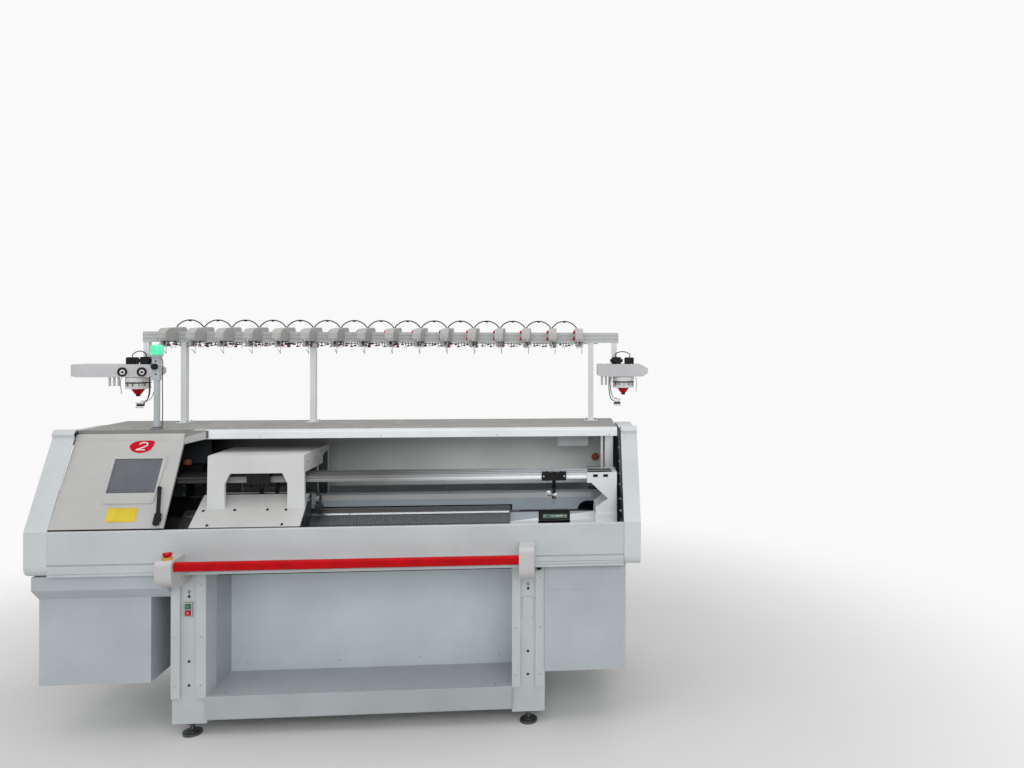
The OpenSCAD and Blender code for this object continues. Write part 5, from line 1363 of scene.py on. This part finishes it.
def casting_details():
    """Sheets along the casting's rear wall, with painted reflection and shade, and the racking drive behind
    its cut-out.
    """
    for name, material, x1, low, d0, high, bevel in (
            ("rear_wall_sheet", "wall_blue", 1.100, 0.9850, 0.4485, 1.0170, 0.0004),
            # Painted reflection: the wall's upper band in a lighter copy of its paint
            ("rear_wall_painted_reflection", "wall_painted_reflection", 1.180, 1.0175, 0.4480, 1.0440, 0.0004),
            # Painted shade: black strip in the dark gap at the wall's foot
            ("rear_wall_painted_shade", "black", 0.760, 0.9560, 0.4460, 0.9845, 0.0004),
            ("rear_wall_strip", "rail_white", 1.285, 1.0445, 0.4465, 1.0535, 0.0010)):
        block_piece(name, material, (WALL_LEFT_X, d0, low, x1, WALL_DEPTH, high, bevel))
    arc = [math.radians(a) for a in range(30, 151, 6)]
    # Painted shade: a near-black arch for the shadowed opening of the cut-out
    upright_plate("racking_arch", "hollow", 0.4462, 0.4478,
                  [(1.1830 + 0.0830 * math.cos(a), 0.9150 + 0.0830 * math.sin(a)) for a in arc])
    lathe_piece("racking_cover", "black", [(0.052, 0.0), (0.052, 0.004), (0.046, 0.006), (0.046, 0.012),
                                           (0.020, 0.014), (0.018, 0.022), (0.0, 0.022)],
                at(RACKING_X, 0.4740, RACKING_Z), FRONT, 36)
    bolts = new_bm()
    for k in range(6):
        a = math.radians(60 * k + 15)
        place = at(RACKING_X + 0.040 * math.cos(a), 0.4620, RACKING_Z + 0.040 * math.sin(a))
        add_socket_screw(bolts, place, FRONT, 0.0035)
    finish_mesh("racking_bolts", bolts, "steel")


def housing_details():
    """Cables and ties at the gap between the side plate and the right housing; slots and a hook."""
    cables = new_bm()
    for k in range(4):
        points = []
        for i in range(8):
            t = i / 7
            d = 0.050 + 0.010 * k + (0.175 + 0.006 * k) * t
            x = 1.3035 + 0.0035 * (k % 2) + 0.0012 * math.sin(4.2 * t + k * 1.3)
            points.append(at(x, d, 0.990 + 0.370 * t + 0.002 * math.sin(7 * t + k)))
        smooth_tube(cables, points, 0.0026, 6, 4)
    finish_mesh("housing_cables", cables, "black")
    ties = new_bm()
    for t in (0.10, 0.24, 0.42, 0.55, 0.70, 0.88):
        d, z = 0.065 + 0.184 * t, 0.990 + 0.370 * t
        add_blocks(ties, (1.3012, d - 0.020, z - 0.004, 1.3112, d + 0.030, z + 0.003, 0.0008))
    finish_mesh("housing_ties", ties, "digit_white")
    # The slots lie inside the housings' walls, so they don't show; the left ones have no thickness
    slots = new_bm()
    for x0, x1 in ((-SIDE_X, -SIDE_X), (SIDE_X - 0.001, SIDE_X + 0.0004)):
        for k in range(3):
            add_blocks(slots, (x0, 0.330 + 0.060 * k, 1.352, x1, 0.372 + 0.060 * k, 1.358, 0.0002))
    finish_mesh("housing_slots", slots, "dark")
    hook = new_bm()
    smooth_tube(hook, [at(1.318, 0.212, 1.404), at(1.322, 0.208, 1.412), at(1.332, 0.208, 1.4145),
                       at(1.344, 0.212, 1.411)], 0.0030, 8, 5)
    finish_mesh("housing_hook", hook, "shell")


def bay_details():
    screws = new_bm()
    back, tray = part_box("bay_back_panel")[0].y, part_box("cloth_tray")[0].y
    for x in (-0.55, -0.10, 0.30, 0.70):
        for z in (0.235, 0.700):
            add_dome_screw(screws, (x, back, z), FRONT, 0.0050)
    for x in (-0.55, 0.07, 0.70):
        add_dome_screw(screws, (x, tray + 0.030, 0.1905), UP, 0.0050)
    finish_mesh("bay_screws", screws, "steel")


def belt_details():
    """Teeth of the carriage belt, inside its upper and lower run."""
    teeth = new_bm()
    low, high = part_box("drive_belt")
    for i in range(BELT_TEETH):
        x = low.x + 0.045 + (high.x - low.x - 0.090) * i / (BELT_TEETH - 1)
        for z in (high.z - 0.0052, low.z + 0.0032):
            add_box(teeth, (x - 0.0035, low.y + 0.0005, z), (x + 0.0035, high.y - 0.0005, z + 0.0020), 0.0)
    finish_mesh("belt_teeth", teeth, "rubber")


lamp_details()
table_details()
rear_panel_details()
casting_details()
housing_details()
bay_details()
belt_details()


# Inner sheets and boxes at the left end (partly painted shade), the sloped end of the trim and the latch's
# lower end

def left_end_details():
    # Painted shade for the shadowed left end: a slate sheet behind the rails; the black boxes and slate
    # covers are partly dark parts there, partly painted shade
    block_piece("left_painted_shade_sheet", "slate", (-1.000, 0.4095, 1.0560, -0.760, 0.4120, 1.3600, 0.0006))
    block_piece("left_inner_boxes", "black", (-0.990, 0.3120, 1.1450, -0.7620, 0.3980, 1.2300, 0.0030),
                (-0.945, 0.3120, 1.0700, -0.8350, 0.3980, 1.1445, 0.0030))
    block_piece("left_inner_covers", "slate", (-0.9350, 0.3100, 1.0760, -0.8400, 0.3119, 1.1380, 0.0020),
                (-0.8150, 0.3400, 1.1145, -0.7700, 0.3980, 1.1440, 0.0030))
    screws = new_bm()
    add_domes(screws, (-0.925, -0.850), (0.3100,), (1.084, 1.130), FRONT, 0.0040)
    finish_mesh("left_inner_screws", screws, "steel")
    lathe_piece("left_knob", "orange", [(0.0190, 0.0), (0.0205, 0.0030), (0.0200, 0.0150), (0.0140, 0.0240),
                                        (0.0, 0.0270)], at(-0.8520, 0.3550, 1.2296), UP, 24)


def trim_end_details():
    upright_plate("trim_end", "grey_plastic", 0.2055, 0.2140, [
        (-0.8090, 1.3480), (-0.7120, 1.3720), (-0.6925, 1.3745), (-0.6925, 1.4120), (-0.7000, 1.4120),
        (-0.7860, 1.3870), (-0.8050, 1.3720)])
    upright_plate("trim_end_top", "table", 0.2065, 0.2140, [
        (-0.8010, 1.3740), (-0.7860, 1.3865), (-0.7000, 1.4115), (-0.6990, 1.4170), (-0.7700, 1.4170),
        (-0.7990, 1.3980)])
    cap = new_bm()
    add_blocks(cap, (-0.6990, 0.2030, 1.3780, -0.6880, 0.2079, 1.4140, 0.0015))
    add_dome_screw(cap, at(-0.6935, 0.2030, 1.4040), FRONT, 0.0038)
    finish_mesh("trim_end_cap", cap, "dark_steel")


def latch_details():
    head = new_bm()
    rounded_plate(head, on_panel(-0.828, 0.048, 0.0142), 0.030, 0.062, 0.0060, 0.012)
    finish_mesh("latch_head", head, "black", "latch")


def opening_details():
    """Selector seen through the bridge's opening."""
    mass = new_bm()
    left, right = BRIDGE_X - 0.045, BRIDGE_X + 0.060
    add_blocks(mass, (left, 0.1035, 1.1720, right, 0.1165, 1.2235, 0.0010))
    for i in range(7):
        x = left + 0.008 + 0.015 * i
        low = 1.1500 + 0.006 * ((i * 3) % 4)
        add_blocks(mass, (x - 0.0045, 0.1045, low, x + 0.0045, 0.1160, 1.1750, 0.0008))
    finish_mesh("selector_teeth", mass, "black", "carriage")
    screws = new_bm()
    add_cam_screws(screws, ((-0.661, 0.093), (-0.285, 0.093)), 0.0058)
    finish_mesh("cam_box_foot_screws", screws, "black", "carriage")


def feeder_disc_details():
    """Yarn discs of the front feeder and the bar between them."""
    x = FRONT_FEEDER_X
    discs = new_bm()
    for dx, z, r in ((-0.027, 1.0900, 0.0115), (0.006, 1.0800, 0.0095)):
        add_lathe(discs, [(r, 0), (r * 1.05, 0.0006), (r * 0.90, 0.0014), (r * 0.35, 0.0018), (0, 0.0018)],
                  at(x + dx, 0.1970, z), FRONT, 22)
    add_blocks(discs, (x - 0.030, 0.1968, 1.0830, x - 0.002, 0.1982, 1.0870, 0.0004))
    finish_mesh("front_feeder_discs", discs, "steel", "feeder_front")


def bracket_front_details():
    """Black parts of the rails' right bracket."""
    low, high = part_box("rail_brackets")
    face = low.y
    black = new_bm()
    for x in (1.1860, 1.2360):
        add_box(black, (x - 0.0115, face - 0.0004, 1.1840), (x + 0.0115, face + 0.0040, 1.1965), 0.0004)
    for z0, z1 in ((1.2085, 1.2155), (1.2200, 1.2235)):
        add_box(black, (1.1480, face - 0.0005, z0), (1.2680, face + 0.0005, z1), 0.0003)
    for d in RAIL_DEPTHS:
        add_blocks(black, (1.1460, d - 0.0060, high.z - 0.0002, 1.2640, d + 0.0080, high.z + 0.0008, 0.0003))
    finish_mesh("bracket_black_parts", black, "black")


left_end_details()
trim_end_details()
latch_details()
opening_details()
feeder_disc_details()
bracket_front_details()
hanger_details()
rail_hook_details()


# Stage, light and camera

BACKDROP = 0.95
FLOOR_HALF = 40.0
WORLD_LIGHT = 0.55


def make_stage():
    """Pale floor that keeps the shadow and fades into the white backdrop far from the machine."""
    mat, tree, shader = new_material("floor")
    vector = coords(tree)
    base = mix(tree, map_range(tree, noise(tree, vector, 1.2, 5.0), 0.3, 0.7),
               (0.74, 0.74, 0.73), (0.71, 0.71, 0.70))
    link(tree, base, shader.inputs["Base Color"])
    shader.inputs["Roughness"].default_value = 0.75
    away = tree.nodes.new("ShaderNodeVectorMath")
    away.operation = "LENGTH"
    link(tree, vector, away.inputs[0])
    far = tree.nodes.new("ShaderNodeMapRange")
    far.interpolation_type = "SMOOTHSTEP"
    link(tree, away.outputs["Value"], far.inputs["Value"])
    far.inputs["From Min"].default_value = 1.6
    far.inputs["From Max"].default_value = 4.4
    glow = tree.nodes.new("ShaderNodeEmission")
    glow.inputs["Color"].default_value = (1.0, 1.0, 1.0, 1.0)
    glow.inputs["Strength"].default_value = BACKDROP
    blend = tree.nodes.new("ShaderNodeMixShader")
    link(tree, multiply(tree, far.outputs["Result"], seen_rays(tree)), blend.inputs["Fac"])
    link(tree, shader.outputs["BSDF"], blend.inputs[1])
    link(tree, glow.outputs["Emission"], blend.inputs[2])
    link(tree, blend.outputs["Shader"], tree.nodes["Material Output"].inputs["Surface"])
    mesh = bpy.data.meshes.new("floor")
    corners = [(x * FLOOR_HALF, y * FLOOR_HALF, 0) for x, y in ((-1, -1), (1, -1), (1, 1), (-1, 1))]
    mesh.from_pydata(corners, [], [(0, 1, 2, 3)])
    floor = bpy.data.objects.new("floor", mesh)
    bpy.context.scene.collection.objects.link(floor)
    mesh.materials.append(mat)


def seen_rays(tree):
    """1 for what the camera, a mirror or glass sees."""
    paths = tree.nodes.new("ShaderNodeLightPath")
    value = paths.outputs["Is Camera Ray"]
    for name in ("Is Glossy Ray", "Is Transmission Ray"):
        node = tree.nodes.new("ShaderNodeMath")
        node.operation = "MAXIMUM"
        link(tree, value, node.inputs[0])
        link(tree, paths.outputs[name], node.inputs[1])
        value = node.outputs["Value"]
    return value


def make_world():
    """Plain light from all round; white where the camera, a mirror or glass sees it."""
    world = bpy.data.worlds.new("world")
    world.use_nodes = True
    bpy.context.scene.world = world
    tree = world.node_tree
    background = tree.nodes["Background"]
    strength = map_range(tree, seen_rays(tree), 0.0, 1.0, WORLD_LIGHT, BACKDROP)
    background.inputs["Color"].default_value = (1.0, 1.0, 1.0, 1.0)
    link(tree, strength, background.inputs["Strength"])


def area_light(name, place, target, size, power):
    data = bpy.data.lights.new(name, "AREA")
    data.shape = "RECTANGLE"
    data.size, data.size_y = size
    data.energy = power
    lamp = bpy.data.objects.new(name, data)
    lamp.location = place
    lamp.rotation_euler = (Vector(target) - Vector(place)).to_track_quat("-Z", "Y").to_euler()
    bpy.context.scene.collection.objects.link(lamp)


def make_lights():
    area_light("ceiling", (0.4, -0.6, 4.6), (0.0, 0.0, 0.8), (6.0, 3.5), 62)
    area_light("front", (1.6, -5.2, 3.4), (0.0, 0.0, 0.9), (4.5, 2.2), 96)
    area_light("left", (-4.6, -1.6, 3.0), (0.0, 0.0, 0.9), (2.5, 2.5), 30)


PHOTO_F_PX = 772.0
PHOTO_W_PX = 1024.0
SENSOR = 36.0
CAMERA_PLACE = (0.994, FRONT_Y - 3.692, 1.870)
CAMERA_YAW = math.radians(4.8)
CAMERA_ROLL = math.radians(0.15)
CAMERA_SHIFT = (-0.107, -0.045)


def make_camera():
    data = bpy.data.cameras.new("camera")
    data.sensor_width = SENSOR
    data.lens = PHOTO_F_PX / PHOTO_W_PX * SENSOR
    data.shift_x, data.shift_y = CAMERA_SHIFT
    camera = bpy.data.objects.new("camera", data)
    look = Matrix.Rotation(-CAMERA_YAW, 4, "Z") @ Matrix.Rotation(math.pi / 2, 4, "X")
    camera.matrix_world = Matrix.Translation(CAMERA_PLACE) @ look @ Matrix.Rotation(CAMERA_ROLL, 4, "Z")
    bpy.context.scene.collection.objects.link(camera)
    bpy.context.scene.camera = camera


make_stage()
make_world()
make_lights()
make_camera()
bpy.context.scene.view_settings.view_transform = "Standard"
